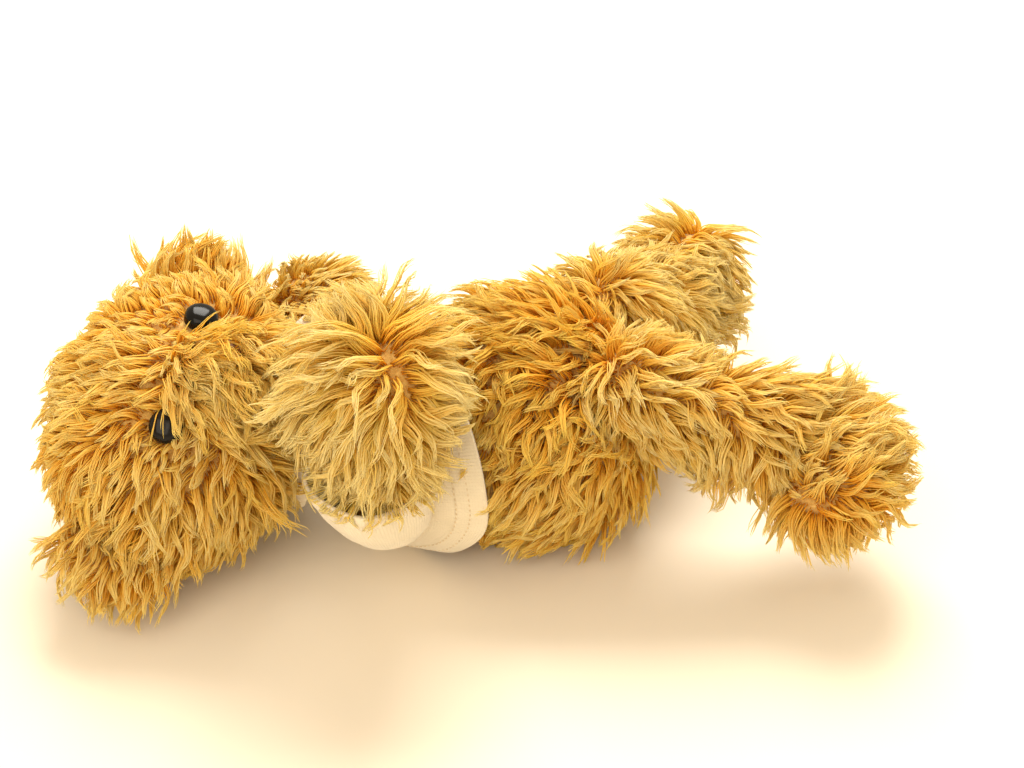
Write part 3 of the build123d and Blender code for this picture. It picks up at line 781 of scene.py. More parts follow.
@dataclass(frozen=True)
class Pile:
    """The locks of one stretch of plush. Lengths are in millimetres."""

    spacing: float = 1.95
    shortest: float = 8.0
    longest: float = 12.0
    root_spread: float = 1.15
    fibres: int = 13
    thickness: float = 0.125
    lift: float = 0.7
    lie: float = 0.1
    droop: float = 0.15
    bend: float = 0.5
    curl: float = 0.6
    curl_length: float = 9.0
    paleness: float = 0.4
    points: int = 8
    gather: float = 0.7
    frizz: float = 0.16

    def grow(self, roots: Array, normals: Array, flow: Array, scale: Array,
             rng: np.random.Generator) -> tuple[Array, Array, Array]:
        """Grows a lock of fibres at each root.

        Args:
            roots: The locks' roots.
            normals: The surface's normals there.
            flow: The direction that each lock lies in.
            scale: Each lock's length as a share of the usual one.
            rng: The source of what differs between locks and fibres.

        Returns:
            The fibres' points, shape (fibres, points, 3), their radii and their shades.
        """
        locks, count = len(roots), self.points
        share = np.linspace(0, 1, count)
        clump = ripple(roots, 11.0, 8)
        grade = np.clip(0.5 + 0.35 * clump + 0.3 * rng.normal(size=locks), 0, 1.4)
        length = (self.shortest + (self.longest - self.shortest) * grade) * scale
        side = np.cross(normals, flow)
        lift = np.clip(self.lift + 0.18 * rng.normal(size=locks), 0.15, 1.3)
        lie = np.clip(self.lie + 0.2 * ripple(roots, 9.0, 3) + 0.12 * rng.normal(size=locks), -0.1, 1.1)
        swerve = self.bend * rng.normal(size=locks)
        spine = np.zeros((locks, count, 3))
        spine[:, 0] = roots
        for step in range(1, count):
            s = share[step - 1]
            rise = lift * (1 - s) ** 1.5 + lie * s
            course = flow * np.cos(swerve * s)[:, None] + side * np.sin(swerve * s)[:, None]
            heading = normals * rise[:, None] + course * (0.35 + 0.65 * s) - UP * (self.droop * s)
            spine[:, step] = spine[:, step - 1] + unit(heading) * (length / (count - 1))[:, None]
        phase = 3.5 * ripple(roots, 12.0, 9) + rng.normal(0, 0.7, locks)
        wave = 2 * math.pi * share[None] * (length / self.curl_length)[:, None] + phase[:, None]
        size = self.curl * rng.uniform(0.5, 1.4, locks)[:, None] * np.sqrt(share)[None]
        spine += (size * np.sin(wave))[..., None] * side[:, None]
        spine += (0.6 * size * np.cos(wave * 0.8))[..., None] * normals[:, None]

        number = self.fibres
        angle = rng.uniform(0, 2 * math.pi, (locks, number))
        fullness = rng.uniform(0.55, 1.3, (locks, 1))
        spread = self.root_spread * fullness * np.sqrt(rng.uniform(0, 1, (locks, number)))
        sideways, forward = (spread * np.cos(angle))[..., None], (spread * np.sin(angle))[..., None]
        offset = sideways * side[:, None] + forward * flow[:, None]
        gather = (1 - self.gather * share**1.5)[None, None, :, None]
        reach = np.clip(rng.normal(0.9, 0.1, (locks, number)), 0.55, 1.15)
        place = np.clip(reach[..., None] * share[None, None], 0, 1) * (count - 1)
        low = np.minimum(place.astype(int), count - 2)
        part = (place - low)[..., None]
        lock = np.arange(locks)[:, None, None]
        lines = spine[lock, low] * (1 - part) + spine[lock, low + 1] * part
        lines = lines + offset[:, :, None] * gather
        frizz = rng.normal(0, self.frizz, (locks, number, 3))[:, :, None] * (share**1.5)[None, None, :, None]
        ripple_phase = rng.uniform(0, 2 * math.pi, (locks, number))[..., None] + share * 7.0
        frizz = frizz * (1 + 1.2 * np.sin(ripple_phase))[..., None]
        lines = lines + frizz * (length / 10)[:, None, None, None]
        shade = self.paleness + 0.16 * ripple(roots, 26.0, 13) + 0.12 * ripple(roots, 7.0, 12)
        shade = shade + 0.12 * rng.normal(size=locks)
        shades = np.clip(np.repeat(shade, number) + 0.05 * rng.normal(size=locks * number), 0.01, 0.99)
        radii = self.thickness * rng.uniform(0.7, 1.25, locks * number)
        return lines.reshape(-1, count, 3), radii, shades


@dataclass(frozen=True)
class Coat:
    """A piece's pile: where it grows on a form, and what it keeps clear of.

    Roots for which a test in bare is true grow nothing. Fibres that cross an opening are left out but for a
    few strays, and the rest are pushed out of the forms in avoid.
    """

    name: str
    body: str
    form: TurnedForm
    pile: Pile
    comb: Comb
    depth: float = BACKING_DEPTH
    seed: int = 1
    bare: tuple = ()
    avoid: tuple = ()
    openings: tuple = ()
    grading: Callable[[Array, Array], Array] | None = None
    fit: Callable[[Array], Array] | None = None

    def lay(self) -> list[bpy.types.Object]:
        """Grows the pile, keeps it off the table and other forms, and writes its pieces.

        Returns:
            The pieces.
        """
        rng = np.random.default_rng(self.seed)
        station, angle = self.form.scatter(self.pile.spacing, rng)
        roots, normals = self.form.surface(station, angle, -self.depth)
        keep = roots[:, 2] > LOWEST_ROOT
        for test in self.bare:
            keep &= ~test(roots, normals)
        roots, normals = roots[keep], normals[keep]
        flow = self.comb.heading(roots, normals, rng)
        scale = self.grading(roots, normals) if self.grading else np.ones(len(roots))
        lines, radii, shades = self.pile.grow(roots, normals, flow, scale, rng)
        stray = np.random.default_rng(self.seed + STRAY_SEED)
        for opening in self.openings:
            clear = ~opening.holds(lines).any(axis=1) | (stray.uniform(0, 1, len(lines)) < STRAY_SHARE)
            lines, radii, shades = lines[clear], radii[clear], shades[clear]
        for form, clearance in self.avoid:
            lines[:, 1:] = form.push_out(lines[:, 1:], clearance)
        if self.fit:
            lines = self.fit(lines)
        floor = LOWEST_TIP + TIP_DISORDER * rng.uniform(0, 1, len(lines))
        lines[..., 2] = np.maximum(lines[..., 2], floor[:, None])
        pieces = []
        count = math.ceil(len(lines) / FIBRES_PER_PIECE)
        for number, chosen in enumerate(np.array_split(np.arange(len(lines)), count), 1):
            name = f"{self.name}_{number}"
            piece = fibre_mesh(name, lines[chosen], radii[chosen], shades[chosen])
            dress(piece, Finish.PILE.material())
            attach(piece, self.body)
            pieces.append(piece)
        log.info("%s: %d fibres in %d pieces", self.name, len(lines), count)
        return pieces


def padded_core(name: str, body: str, form: TurnedForm, depth: float,
                nodes: tuple[str, ...]) -> bpy.types.Object:
    """The stuffed backing under the pile, which stands for the CAD panels.

    Args:
        name: The piece's name.
        body: The CAD body that it rides on.
        form: The panels' outer form.
        depth: How far the backing lies below that form.
        nodes: The CAD nodes that it replaces.

    Returns:
        The piece.
    """
    rows, columns = 40, 56
    points = turned_points(form, -depth, rows, columns)
    points = points + ripple(points, 14.0, 4)[:, None] * 0.25
    points[:, 2] = np.maximum(points[:, 2], BACKING_REST)
    faces = grid_faces(rows, columns)
    faces += [tuple(range(columns))[::-1], tuple((rows - 1) * columns + i for i in range(columns))]
    # The backing's dark brown finish is painted shade between the locks.
    piece = dress(write_mesh(name, points, faces), Finish.BACKING.material())
    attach(piece, body)
    if nodes:
        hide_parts(*nodes)
    log.info("%s: stuffed backing", name)
    return piece


# ---------------------------------------------------------------- the bear

HEAD_LEFT = unit(np.array((0.33, 0.85, 0.41)))
HEAD_FACE = across(np.array((0.11, -0.47, 0.88)), HEAD_LEFT)
HEAD_CROWN = np.cross(HEAD_FACE, HEAD_LEFT)


@dataclass
class Head:
    """Head, muzzle and ears with their pile, and the eyes and nose."""

    centre: Point = (-52.0, 4.0, 23.6)
    half_width: float = 28.0
    radius: float = 23.0
    muzzle_forward: float = 15.0
    muzzle_drop: float = 6.0
    muzzle_half_length: float = 13.0
    muzzle_radius: float = 11.2
    ear_spread: float = 25.0
    ear_height: float = 3.0
    ear_radius: float = 9.5
    ear_half_thickness: float = 3.2
    eye_clearings: tuple[float, float] = (4.8, 3.1)
    eye_openings: tuple[float, float] = (2.7, 2.4)
    nose_form: tuple[float, float] = (6.6, 4.2)
    nose_patch: tuple[float, float] = (5.6, 3.6)
    fringe_above: tuple[float, float] = (-3.0, 6.5)
    fringe_beside: tuple[float, float] = (-6.0, 2.8)
    fringe_behind: float = -8.0
    opening_half_length: float = 12.0
    opening_turn: Point = (-0.15, -0.6, -0.2)
    opening_shifts: tuple[Point, Point] = ((0.0, 0.4, 1.0), (-1.3, -0.3, -0.9))

    def form(self) -> Oval:
        """The head's outer form."""
        return Oval(self.centre, tuple(HEAD_LEFT), self.half_width, self.radius)

    def muzzle_centre(self) -> Array:
        """The middle of the muzzle."""
        return np.array(self.centre) + HEAD_FACE * self.muzzle_forward - HEAD_CROWN * self.muzzle_drop

    def build(self) -> None:
        """Builds and dresses every piece of the head."""
        middle = self.muzzle_centre()
        muzzle = Oval(tuple(middle), tuple(HEAD_FACE), self.muzzle_half_length, self.muzzle_radius)
        whorl = tuple(middle + HEAD_FACE * 8)
        form = self.form()
        shell = ("head_side_right", "head_side_left", "head_gusset", "head_stuffing")
        padded_core("head_backing", "head", form, 2.6, shell)
        padded_core("muzzle_backing", "head", muzzle, 1.8, ("muzzle", "muzzle_stuffing"))
        far_eye = (tuple(self.middle_of("eye_left")),)
        comb = Comb(centre=whorl, away=1.0, fall=0.1, tousle=0.7, clearings=far_eye)
        pile = Pile(shortest=7.0, longest=12.0, lift=0.6, lie=0.02, droop=0.05, paleness=0.5)
        gaps = self.eye_gaps()
        Coat("head_pile", "head", form, pile, comb, seed=11, bare=(self.under_muzzle, self.on_eyes),
             openings=gaps, grading=self.length_share).lay()
        forward = Comb(along=tuple(-HEAD_CROWN), tousle=0.7, clearings=far_eye)
        short = Pile(spacing=1.45, shortest=8.0, longest=12.5, lift=0.9, lie=0.2, droop=0.0, curl=0.9,
                     paleness=0.38)
        nose = Oval(tuple(self.middle_of("nose")), tuple(HEAD_LEFT), *self.nose_form)
        Coat("muzzle_pile", "head", muzzle, short, forward, depth=1.6, seed=12,
             bare=(self.inside_head, self.on_eyes, self.on_nose), avoid=((nose, 0.8),), openings=gaps,
             grading=self.length_share).lay()
        over = Comb(along=tuple(-HEAD_CROWN - 0.3 * HEAD_LEFT), tousle=0.35)
        fringe = Pile(spacing=1.15, shortest=9.0, longest=14.0, lift=1.0, lie=0.0, droop=0.0, curl=0.9,
                      paleness=0.38)
        Coat("nose_fringe", "head", muzzle, fringe, over, depth=1.6, seed=15, bare=(self.off_fringe,),
             avoid=((nose, 0.5),), openings=gaps).lay()
        for side, name in ((-1, "right"), (1, "left")):
            middle = np.array(self.centre) + HEAD_LEFT * (side * self.ear_spread) + HEAD_CROWN * self.ear_height
            ear = Oval(tuple(middle), tuple(HEAD_FACE), self.ear_half_thickness, self.ear_radius)
            padded_core(f"ear_{name}_backing", "head", ear, 0.6, (f"ear_{name}_front", f"ear_{name}_back"))
            out = Comb(centre=self.centre, away=1.0, fall=0.2, tousle=0.7)
            pile = Pile(longest=10.0, shortest=6.0, lift=0.5, paleness=0.45)
            Coat(f"ear_{name}_pile", "head", ear, pile, out, depth=0.8, seed=13 + side,
                 bare=(self.inside_head,)).lay()

    def middle_of(self, node: str) -> Array:
        """The middle of a CAD node, in millimetres."""
        low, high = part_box(node)
        return np.array((low + high) / 2) / MM

    def eye_places(self) -> list[Array]:
        """The middles of the left and the right eye."""
        return [self.middle_of(name) for name in ("eye_left", "eye_right")]

    def eye_gaps(self) -> tuple[Oval, ...]:
        """The openings in the pile in front of the eyes."""
        outward = unit(HEAD_FACE + np.array(self.opening_turn))
        gaps = []
        for place, shift, radius in zip(self.eye_places(), self.opening_shifts, self.eye_openings):
            middle = place + np.array(shift) + HEAD_FACE * 3.2 + outward * 6
            gaps.append(Oval(tuple(middle), tuple(outward), self.opening_half_length, radius))
        return tuple(gaps)

    def eye_margin(self, points: Array) -> Array:
        """How far each place is outside the cleared ring about the nearer eye, in millimetres."""
        margins = [
            np.linalg.norm(points - middle, axis=1) - clearing
            for middle, clearing in zip(self.eye_places(), self.eye_clearings)
        ]
        return np.minimum(*margins)

    def on_nose(self, points: Array, normals: Array) -> Array:
        """True for roots that the nose covers."""
        return in_oval(points, self.middle_of("nose"), HEAD_LEFT, *self.nose_patch)

    def on_eyes(self, points: Array, normals: Array) -> Array:
        """True for roots that an eye covers."""
        return self.eye_margin(points) < 0

    def off_fringe(self, points: Array, normals: Array) -> Array:
        """True for roots outside the patch whose locks fall over the nose."""
        offset = points - self.middle_of("nose")
        outside = offset @ HEAD_FACE < self.fringe_behind
        for direction, (low, high) in ((HEAD_CROWN, self.fringe_above), (HEAD_LEFT, self.fringe_beside)):
            place = offset @ direction
            outside |= (place < low) | (place > high)
        return outside

    def length_share(self, points: Array, normals: Array) -> Array:
        """Short locks about the eyes, on the crown and where the head rests on the table."""
        near = smooth_step(self.eye_margin(points), 0, 8)
        low = smooth_step(points[:, 2], 4, 22)
        back = smooth_step(normals @ unit(np.array((-0.7, 0.5, 0.5))), 0.1, 0.8)
        return (0.4 + 0.6 * near) * (0.4 + 0.6 * low) * (1 - 0.4 * back)

    def inside_head(self, points: Array, normals: Array) -> Array:
        """True for roots that lie inside the head."""
        return in_oval(points, self.centre, HEAD_LEFT, self.half_width - COVER, self.radius - COVER)

    def under_muzzle(self, points: Array, normals: Array) -> Array:
        """True for roots that the muzzle covers."""
        forward, radial = about_axis(points, self.muzzle_centre(), HEAD_FACE)
        return (forward > -6) & (np.linalg.norm(radial, axis=1) < self.muzzle_radius - 3)


@dataclass
class Torso:
    """The pear-shaped body below the T-shirt's hem."""

    height: float = 20.4
    axis: Point = (0.9945, 0.0, 0.1045)
    profile: tuple = ((-19.0, 15.2), (-5.0, 19.8), (12.0, 22.6), (24.0, 18.6))
    neck_station: float = -26.5
    tail_station: float = 31.0
    hem_station: float = 0.8
    hem_rise_above: float = 3.0
    hem_rise_below: float = 15.0

    def form(self, outset: float = 0.0) -> PearForm:
        """The torso's outer form, grown by outset."""
        base = (0.0, 0.0, self.height)
        return PearForm(base, self.axis, self.profile, self.neck_station, self.tail_station, outset)

    def hem_at(self, angle: Array) -> Array:
        """The station of the T-shirt's hem, which has ridden up above and below."""
        down = np.sin(angle)
        above = self.hem_rise_above * np.clip(-down, 0, None) ** 2
        below = self.hem_rise_below * np.clip(down, 0, None) ** 2
        return self.hem_station - above - below

    def under_shirt(self, points: Array, normals: Array) -> Array:
        """True for roots that the T-shirt covers."""
        side, third, along = self.form().axes()
        offset = points - np.array((0.0, 0.0, self.height))
        angle = np.arctan2(offset @ third, offset @ side)
        return offset @ along < self.hem_at(angle) + 0.4

    def build(self) -> None:
        """Builds and dresses the torso."""
        form = self.form()
        panels = ("torso_belly", "torso_back_right", "torso_back_left", "torso_stuffing")
        padded_core("torso_backing", "torso", form, BACKING_DEPTH, panels)
        comb = Comb(centre=(30.0, 0.0, 30.0), away=0.3, along=(-0.3, 0.0, 0.0), fall=0.45, tousle=0.75)
        pile = Pile(shortest=7.0, longest=11.0, lift=0.6, lie=0.1, droop=0.2, paleness=0.22, curl=0.8)
        Coat("torso_pile", "torso", form, pile, comb, seed=21, bare=(self.under_shirt,),
             grading=self.length_share).lay()

    def length_share(self, points: Array, normals: Array) -> Array:
        """Shorter locks beside the T-shirt's hem and near the table."""
        station = (points - np.array((0.0, 0.0, self.height))) @ np.array(self.axis)
        low = smooth_step(points[:, 2], 1, 14)
        beyond = smooth_step(station, self.hem_station, self.hem_station + 8)
        return (0.62 + 0.38 * beyond) * (0.7 + 0.3 * low)


@dataclass
class Arm:
    """One arm, with its pile."""

    name: str
    shoulder: Point
    along: Point
    length: float = 38.0
    root_radius: float = 9.6
    waist_radius: float = 9.6
    paw_radius: float = 11.8
    parting: Point = (0.93, 0.37, 0.0)
    fullness: float = 0.95
    upper_growth: float = 0.2
    sleeve_share: float = 0.42
    sleeve_cover: float = 6.0
    sleeve_gap: float = 1.1
    seam: tuple[float, float] = (0.45, 11.0)
    crest_start: float = 16.0
    crested: bool = True
    seed: int = 31

    def form(self) -> Limb:
        """The arm's outer form."""
        radii = self.root_radius, self.waist_radius, self.paw_radius
        return Limb(self.shoulder, self.along, self.length, *radii)

    def station_of(self, points: Array) -> Array:
        """How far along the arm each point is from the shoulder."""
        return (points - np.array(self.shoulder)) @ unit(np.array(self.along))

    def in_sleeve(self, points: Array, normals: Array) -> Array:
        """True for roots that the sleeve covers."""
        return self.station_of(points) < self.sleeve_cover

    def length_share(self, points: Array, normals: Array) -> Array:
        """Long locks at the paw, shorter ones at the sleeve."""
        station = self.station_of(points)
        above = smooth_step(normals @ unit(np.array((-0.6, 0.5, 0.6))), 0.2, 0.9)
        beside = smooth_step(normals[:, 0], 0.3, 0.9)
        taper = self.sleeve_share + (1 - self.sleeve_share) * smooth_step(station, 7.0, 26.0)
        return self.fullness * taper * (1 + self.upper_growth * above - 0.35 * beside)

    def build(self, torso: Torso) -> None:
        """Builds and dresses the arm, with its pile clear of the shirt."""
        body = f"arm_{self.name}"
        panels = (f"{body}_upper", f"{body}_lower", f"{body}_stuffing")
        padded_core(f"{body}_backing", body, self.form(), BACKING_DEPTH, panels)
        comb = Comb(centre=self.tip(), away=0.8, fall=0.08, tousle=0.6, parting=self.parting)
        pile = Pile(shortest=10.5, longest=15.5, lift=0.8, lie=0.25, droop=0.12, paleness=0.95, curl=0.9)
        Coat(f"{body}_pile", body, self.form(), pile, comb, seed=self.seed, bare=(self.in_sleeve, self.on_seam),
             avoid=((torso.form(), 2.6),), grading=self.length_share, fit=self.clear_sleeve).lay()
        if self.crested:
            upward = Comb(along=(-0.3, 0.5, 0.5), tousle=0.5)
            crest = Pile(spacing=1.7, shortest=9.0, longest=13.0, lift=1.1, lie=0.3, droop=0.0, paleness=0.95,
                         curl=0.9)
            Coat(f"{body}_crest", body, self.form(), crest, upward, seed=self.seed + 5,
                 bare=(self.off_crest,)).lay()

    def off_crest(self, points: Array, normals: Array) -> Array:
        """True for roots away from the arm's top, where the pile stands up."""
        beside = normals @ unit(np.array((-0.4, 0.4, 0.82))) < 0.8
        return beside | (self.station_of(points) < self.crest_start)

    def sleeve(self) -> SleeveForm:
        """The sleeve round the arm's root."""
        return SleeveForm(self.shoulder, self.along)

    def clear_sleeve(self, lines: Array) -> Array:
        """Keeps the pile from passing through the sleeve."""
        return self.sleeve().sort_fibres(lines, self.sleeve_gap)

    def tip(self) -> Point:
        """The middle of the paw's end, where its seam runs."""
        return tuple(np.array(self.shoulder) + unit(np.array(self.along)) * self.length)

    def on_seam(self, points: Array, normals: Array) -> Array:
        """True for roots in the paw's seam, where the pile parts."""
        return in_seam(points, self.tip(), self.parting, *self.seam)


@dataclass
class Leg:
    """One leg and its foot, with their pile."""

    name: str
    hip: Point
    along: Point
    toes: Point
    length: float = 38.0
    root_radius: float = 9.3
    waist_radius: float = 8.9
    end_radius: float = 9.3
    foot_half_length: float = 14.5
    foot_radius: float = 11.2
    foot_forward: float = 3.0
    crease_shift: Point = (-11.0, -3.0, 5.0)
    seam: tuple[float, float] = (0.4, 13.0)
    parting: Point = (0.1, 0.0, 1.0)
    paleness: float = 0.62
    seed: int = 41

    def form(self) -> Limb:
        """The leg's outer form."""
        radii = self.root_radius, self.waist_radius, self.end_radius
        return Limb(self.hip, self.along, self.length, *radii)

    def foot_form(self) -> Oval:
        """The foot's outer form."""
        along = unit(np.array(self.along))
        toes = across(np.array(self.toes), along)
        middle = np.array(self.hip) + along * self.length + toes * self.foot_forward
        return Oval(tuple(middle), tuple(toes), self.foot_half_length, self.foot_radius)

    def in_foot(self, points: Array, normals: Array) -> Array:
        """True for the leg's roots that lie inside the foot."""
        foot = self.foot_form()
        half_length, radius = self.foot_half_length - COVER, self.foot_radius - COVER
        return in_oval(points, foot.base, np.array(foot.along), half_length, radius)

    def in_leg(self, points: Array, normals: Array) -> Array:
        """True for the foot's roots that lie inside the leg."""
        station, radial = about_axis(points, self.hip, unit(np.array(self.along)))
        distance = np.linalg.norm(radial, axis=1)
        return (station < self.length - COVER) & (distance < self.waist_radius - COVER)

    def build(self) -> None:
        """Builds and dresses the leg."""
        body = f"leg_{self.name}"
        panels = (f"{body}_outer", f"{body}_inner", f"{body}_stuffing")
        padded_core(f"{body}_backing", body, self.form(), BACKING_DEPTH, panels)
        padded_core(f"{body}_foot_backing", body, self.foot_form(), BACKING_DEPTH, (f"{body}_sole",))
        along = tuple(unit(np.array(self.along)) * 0.5)
        comb = Comb(along=along, fall=0.45, tousle=0.85)
        pile = Pile(shortest=6.0, longest=10.0, lift=0.85, lie=0.25, droop=0.15, paleness=self.paleness,
                    curl=0.7)
        Coat(f"{body}_pile", body, self.form(), pile, comb, seed=self.seed, bare=(self.in_foot,),
             grading=self.length_share).lay()
        crease = Comb(centre=self.crease(), away=0.25, along=along, fall=0.3, tousle=0.8,
                      parting=self.parting, parting_reach=15.0)
        Coat(f"{body}_foot_pile", body, self.foot_form(), pile, crease, seed=self.seed + 1,
             bare=(self.in_leg, self.on_crease), grading=self.foot_share).lay()

    def crease(self) -> Point:
        """The middle of the seam across the sole, where the pile parts."""
        foot = self.foot_form()
        end = np.array(foot.base) + np.array(foot.along) * (self.foot_half_length - COVER)
        return tuple(end + np.array(self.crease_shift))

    def on_crease(self, points: Array, normals: Array) -> Array:
        """True for roots in the sole's seam."""
        return in_seam(points, self.crease(), self.parting, *self.seam)

    def foot_share(self, points: Array, normals: Array) -> Array:
        """Shorter locks under the foot."""
        return 1 - 0.4 * smooth_step(-normals[:, 2], 0.1, 0.8)

    def length_share(self, points: Array, normals: Array) -> Array:
        """Longer locks above and below, near the foot."""
        station = (points - np.array(self.hip)) @ unit(np.array(self.along))
        return 1 + 0.35 * np.abs(normals[:, 2]) * smooth_step(station, 5, self.length - 8)


@dataclass
class Shirt:
    """The knit T-shirt: body, sleeves, neck band and their stitches."""

    torso: Torso
    thickness: float = CLOTH_THICKNESS
    ease: float = 0.6
    hem_width: float = 5.6
    hem_radius: float = 22.0
    stitch_rows: tuple[float, float] = (3.1, 5.5)
    stitch_pitch: float = 1.05
    stitch_radius: float = 0.17
    stitch_dip: float = 0.22
    cuff_width: float = 3.4
    neck_centre: Point = (-52.0, 4.0, 23.6)
    neck_reach: float = 21.45
    neck_radius: float = 9.6
    band_width: float = 3.6
    ribs: int = 48
    rib_height: float = 0.12

    def build(self, arms: tuple["Arm", ...]) -> None:
        """Builds and dresses every piece of the T-shirt."""
        self.build_body()
        for arm in arms:
            self.build_sleeve(arm)
        self.build_band()

    def looseness(self, station: Array, angle: Array) -> Array:
        """How far the cloth stands off the torso: creases that run to the arms, and a flared hem."""
        form = self.torso.form()
        place = form.surface(station, angle)[0]
        creases = 0.45 * ripple(place * np.array((0.35, 1.0, 1.0)), 17.0, 61)
        pulls = 0.30 * ripple(place * np.array((1.0, 0.5, 0.5)), 12.0, 62)
        edge = self.torso.hem_at(angle)
        flare = 0.7 * smooth_step(station - edge, -9.0, 0.0)
        hem = 0.22 * smooth_step(station - edge, -self.hem_width - 0.3, -self.hem_width + 0.3)
        wave = flare * 0.6 * ripple(place, 19.0, 63)
        return self.ease + self.thickness + creases + pulls + flare + hem + wave

    def cloth(self, station: Array, angle: Array, sink: float = 0.0) -> Array:
        """Points on the cloth's outside, or sink millimetres below it."""
        point = self.torso.form().surface(station, angle, self.looseness(station, angle) - sink)[0]
        point[..., 2] = np.maximum(point[..., 2], CLOTH_REST + sink)
        return point

    def build_body(self) -> None:
        """The shirt's body as one tube of cloth, with its hem's two rows of stitches."""
        hem, neck = self.torso.hem_station, self.torso.neck_station + 1.0
        rows, columns = 96, 260
        angle = np.tile(np.linspace(0, 2 * math.pi, columns, endpoint=False), rows)
        share = np.repeat(np.linspace(0, 1, rows), columns)
        station = neck + (self.torso.hem_at(angle) - neck) * share
        outer = self.cloth(station, angle).reshape(rows, columns, 3)
        inner = self.cloth(station, angle, self.thickness).reshape(rows, columns, 3)
        body, area = cloth_tube("shirt_body", outer, inner)
        stitches = [self.stitch_row(number, offset) for number, offset in enumerate(self.stitch_rows, 1)]
        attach(body, "torso")
        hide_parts("shirt_front", "shirt_back")
        log.info("shirt_body: cloth of %.0f square millimetres", area)

    def stitch_row(self, number: int, offset: float) -> bpy.types.Object:
        """One row of stitches round the hem, offset millimetres from its edge."""
        count = int(2 * math.pi * self.hem_radius / self.stitch_pitch)
        middle = np.linspace(0, 2 * math.pi, count, endpoint=False)
        share = np.linspace(-0.42, 0.42, 6)
        angle = middle[:, None] + share[None] * 2 * math.pi / count
        station = self.torso.hem_at(angle) - offset
        dip = self.stitch_dip * (share / share[-1]) ** 2
        lines = self.cloth(station.ravel(), angle.ravel(), 0.0).reshape(*angle.shape, 3)
        below = self.cloth(station.ravel(), angle.ravel(), 0.5).reshape(*angle.shape, 3)
        lines = lines + (below - lines) * 2 * dip[None, :, None]
        radii, shades = np.full(count, self.stitch_radius), np.full(count, 0.5)
        row = fibre_mesh(f"hem_stitches_{number}", lines, radii, shades)
        # The stitches' tan is partly painted shade of the holes they sit in.
        dress(row, Finish.STITCH.material())
        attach(row, "torso")
        return row

    def build_sleeve(self, arm: "Arm") -> None:
        """A short wide sleeve round the arm's root."""
        form = arm.sleeve()
        low, high = form.ends()
        rows, columns = 60, 150
        station = np.repeat(np.linspace(low, high, rows), columns)
        angle = np.tile(np.linspace(0, 2 * math.pi, columns, endpoint=False), rows)
        free = smooth_step(station, low, high)
        fold = ripple(form.surface(station, angle)[0], 15.0, arm.seed) * (0.15 + 0.45 * free)
        cuff = 0.3 * smooth_step(station, high - self.cuff_width, high - self.cuff_width + 0.4)

        def place(sink: float) -> Array:
            point = form.surface(station, angle, fold + cuff - sink)[0]
            point[:, 2] = np.maximum(point[:, 2], CLOTH_REST + sink)
            return point.reshape(rows, columns, 3)

        sleeve, area = cloth_tube(f"sleeve_cloth_{arm.name}", place(0.0), place(self.thickness))
        shoulder, along = np.array(arm.shoulder), form.axes()[2]
        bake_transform(sleeve)
        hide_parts(f"sleeve_{arm.name}")
        log.info("%s: cloth of %.0f square millimetres", sleeve.name, area)

    def build_band(self) -> None:
        """The ribbed neck band."""
        centre = np.array(self.neck_centre)
        torso = np.array((self.torso.neck_station, 0.0, self.torso.height))
        torso[2] += self.torso.neck_station * self.torso.axis[2]
        along = unit(torso - centre)
        band = Limb(tuple(centre + along * self.neck_reach), tuple(along), 1.0, 1.0, 1.0, 1.0)
        side, third, along = band.axes()
        rows, columns = 12, 240
        angle = np.linspace(0, 2 * math.pi, columns, endpoint=False)
        turn = np.linspace(0, 2 * math.pi, rows, endpoint=False)
        rib = self.rib_height * np.cos(angle * self.ribs)
        radius = self.neck_radius + 0.5 + (0.55 + rib[None]) * np.cos(turn)[:, None]
        station = (self.band_width / 2) * (1 + np.sign(np.sin(turn)) * np.abs(np.sin(turn)) ** 0.5)
        outward = np.cos(angle)[:, None] * side + np.sin(angle)[:, None] * third
        base = np.array(band.base) + station[:, None, None] * along
        points = base + radius[..., None] * outward[None]
        faces = grid_faces(rows, columns, closed=True)
        piece = dress(write_mesh("neck_rib", points.reshape(-1, 3), faces), Finish.JERSEY.material())
        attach(piece, "torso")
        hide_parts("neck_band")
        log.info("neck_rib: ribbed band")


@dataclass
class Hardware:
    """The CAD pieces that keep their own shape: eyes, nose, filling, tape loop and split ring."""

    finishes: dict[str, Finish] = field(default_factory=lambda: {
        "eye_washer": Finish.WASHER,
        "eye": Finish.EYE,
        "nose": Finish.NOSE,
        "hang_loop": Finish.TAPE,
        "key_ring": Finish.STEEL,
        "shirt": Finish.JERSEY,
        "sleeve": Finish.JERSEY,
        "neck_band": Finish.JERSEY,
    })

    def dress(self, nodes: dict[str, bpy.types.Object]) -> None:
        """Gives each CAD piece that stays its finish."""
        for name, node in nodes.items():
            kind = next((k for k in self.finishes if name.startswith(k)), None)
            dress(node, (self.finishes[kind] if kind else Finish.FILLING).material())


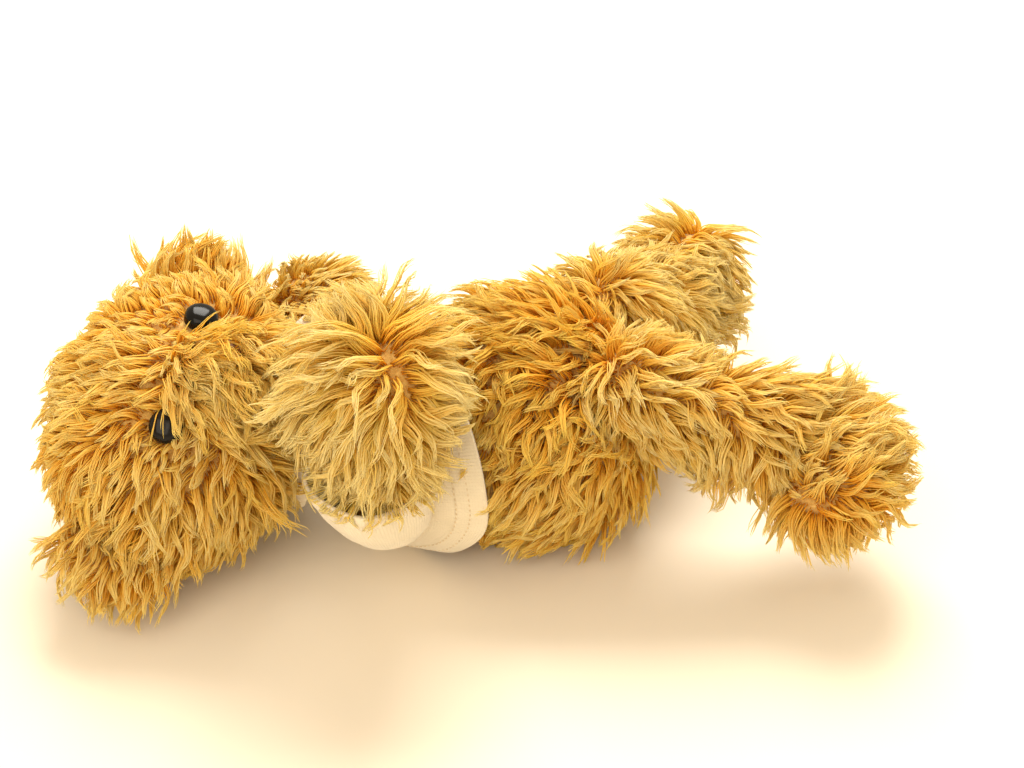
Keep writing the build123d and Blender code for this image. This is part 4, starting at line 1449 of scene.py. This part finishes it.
@dataclass
class Studio:
    """Floor, lamps, world and camera."""

    target: Point = (0.0095, 0.0128, 0.020)
    azimuth: float = -8.0
    elevation: float = 35.0
    distance: float = 0.448
    lens: float = 85.0
    floor_reach: float = 2.0
    floor_colour: Point = (0.94, 0.88, 0.78)
    floor_seen: Point = (0.82, 0.73, 0.60)
    sky_colour: Point = (1.0, 0.87, 0.68)
    sky_strength: float = 0.88

    def build(self) -> None:
        """Sets the stage."""
        self.floor()
        self.world()
        self.lamp("key_lamp", place=(0.10, 0.50, 0.75), size=0.5, power=11.0, colour=(1.0, 0.97, 0.90))
        self.lamp("fill_lamp", place=(-0.35, -0.7, 0.65), size=0.8, power=6.6, colour=(1.0, 0.93, 0.80))
        self.camera()
        bpy.context.scene.view_settings.view_transform = "Standard"

    def floor(self) -> None:
        """A plain pale floor."""
        reach = self.floor_reach
        corners = np.array([(x * reach, y * reach, 0.0) for x, y in ((-1, -1), (1, -1), (1, 1), (-1, 1))]) / MM
        floor = write_mesh("floor", corners, [(0, 1, 2, 3)])
        nodes = NodeMaterial("floor")
        rays = nodes.add("ShaderNodeLightPath")
        seen = nodes.math("MAXIMUM", rays.outputs["Is Camera Ray"], rays.outputs["Is Glossy Ray"])
        seen = nodes.math("MAXIMUM", seen, rays.outputs["Is Transmission Ray"])
        nodes.paint(seen, {0.0: self.floor_colour, 1.0: self.floor_seen})
        dress(floor, nodes.finish(0.6, Specular_IOR_Level=0.2))

    def world(self) -> None:
        """A warm white surround that lights the bear softly."""
        world = bpy.data.worlds.new("surround")
        bpy.context.scene.world = world
        world.use_nodes = True
        tree = world.node_tree
        background = tree.nodes["Background"]
        background.inputs["Color"].default_value = (*self.sky_colour, 1)
        background.inputs["Strength"].default_value = self.sky_strength

    def lamp(self, name: str, place: Point, size: float, power: float, colour: Point) -> None:
        """A soft lamp that points at the bear."""
        data = bpy.data.lights.new(name, "AREA")
        data.size = size
        data.energy = power
        data.color = colour
        lamp = bpy.data.objects.new(name, data)
        lamp.location = place
        lamp.rotation_euler = (Vector(self.target) - Vector(place)).to_track_quat("-Z", "Y").to_euler()
        bpy.context.scene.collection.objects.link(lamp)

    def camera(self) -> None:
        """The camera, at the angle that the bear is looked at from."""
        turn, rise = math.radians(self.azimuth), math.radians(self.elevation)
        back = Vector((math.sin(turn) * math.cos(rise), -math.cos(turn) * math.cos(rise), math.sin(rise)))
        data = bpy.data.cameras.new("camera")
        data.lens = self.lens
        data.sensor_width = 36.0
        data.clip_start = 0.01
        camera = bpy.data.objects.new("camera", data)
        camera.location = Vector(self.target) + back * self.distance
        camera.rotation_euler = (-back).to_track_quat("-Z", "Y").to_euler()
        bpy.context.scene.collection.objects.link(camera)
        bpy.context.scene.camera = camera


def main() -> None:
    """Loads the frame, dresses it piece by piece and notes the sizes."""
    logging.basicConfig(level=logging.INFO, format="%(name)s: %(message)s")
    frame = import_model()
    Studio().build()
    Hardware().dress(frame["nodes"])
    torso = Torso()
    Head().build()
    torso.build()
    arms = (
        Arm("right", shoulder=(-17.0, -21.0, 20.0), along=(0.0, -0.06, 1.0), seed=31),
        Arm("left", shoulder=(-17.0, 21.0, 20.0), along=(-0.25, 0.92, -0.17), parting=(0.8, 0.1, 0.6),
            fullness=0.62, upper_growth=-0.3, sleeve_share=1.1, crested=False, seed=32),
    )
    for arm in arms:
        arm.build(torso)
    Shirt(torso).build(arms)
    Leg("right", hip=(27.0, -12.5, 35.0), along=(0.925, -0.218, -0.308), toes=(-0.32, -0.885, -0.343),
        seed=41).build()
    Leg("left", hip=(27.0, 12.5, 35.0), along=(0.482, 0.722, -0.496), toes=(0.3, 0.35, 0.88),
        crease_shift=(0.0, 0.0, 0.0), parting=(0.8, -0.6, 0.0), paleness=0.85, seed=43).build()


if __name__ == "__main__":
    main()
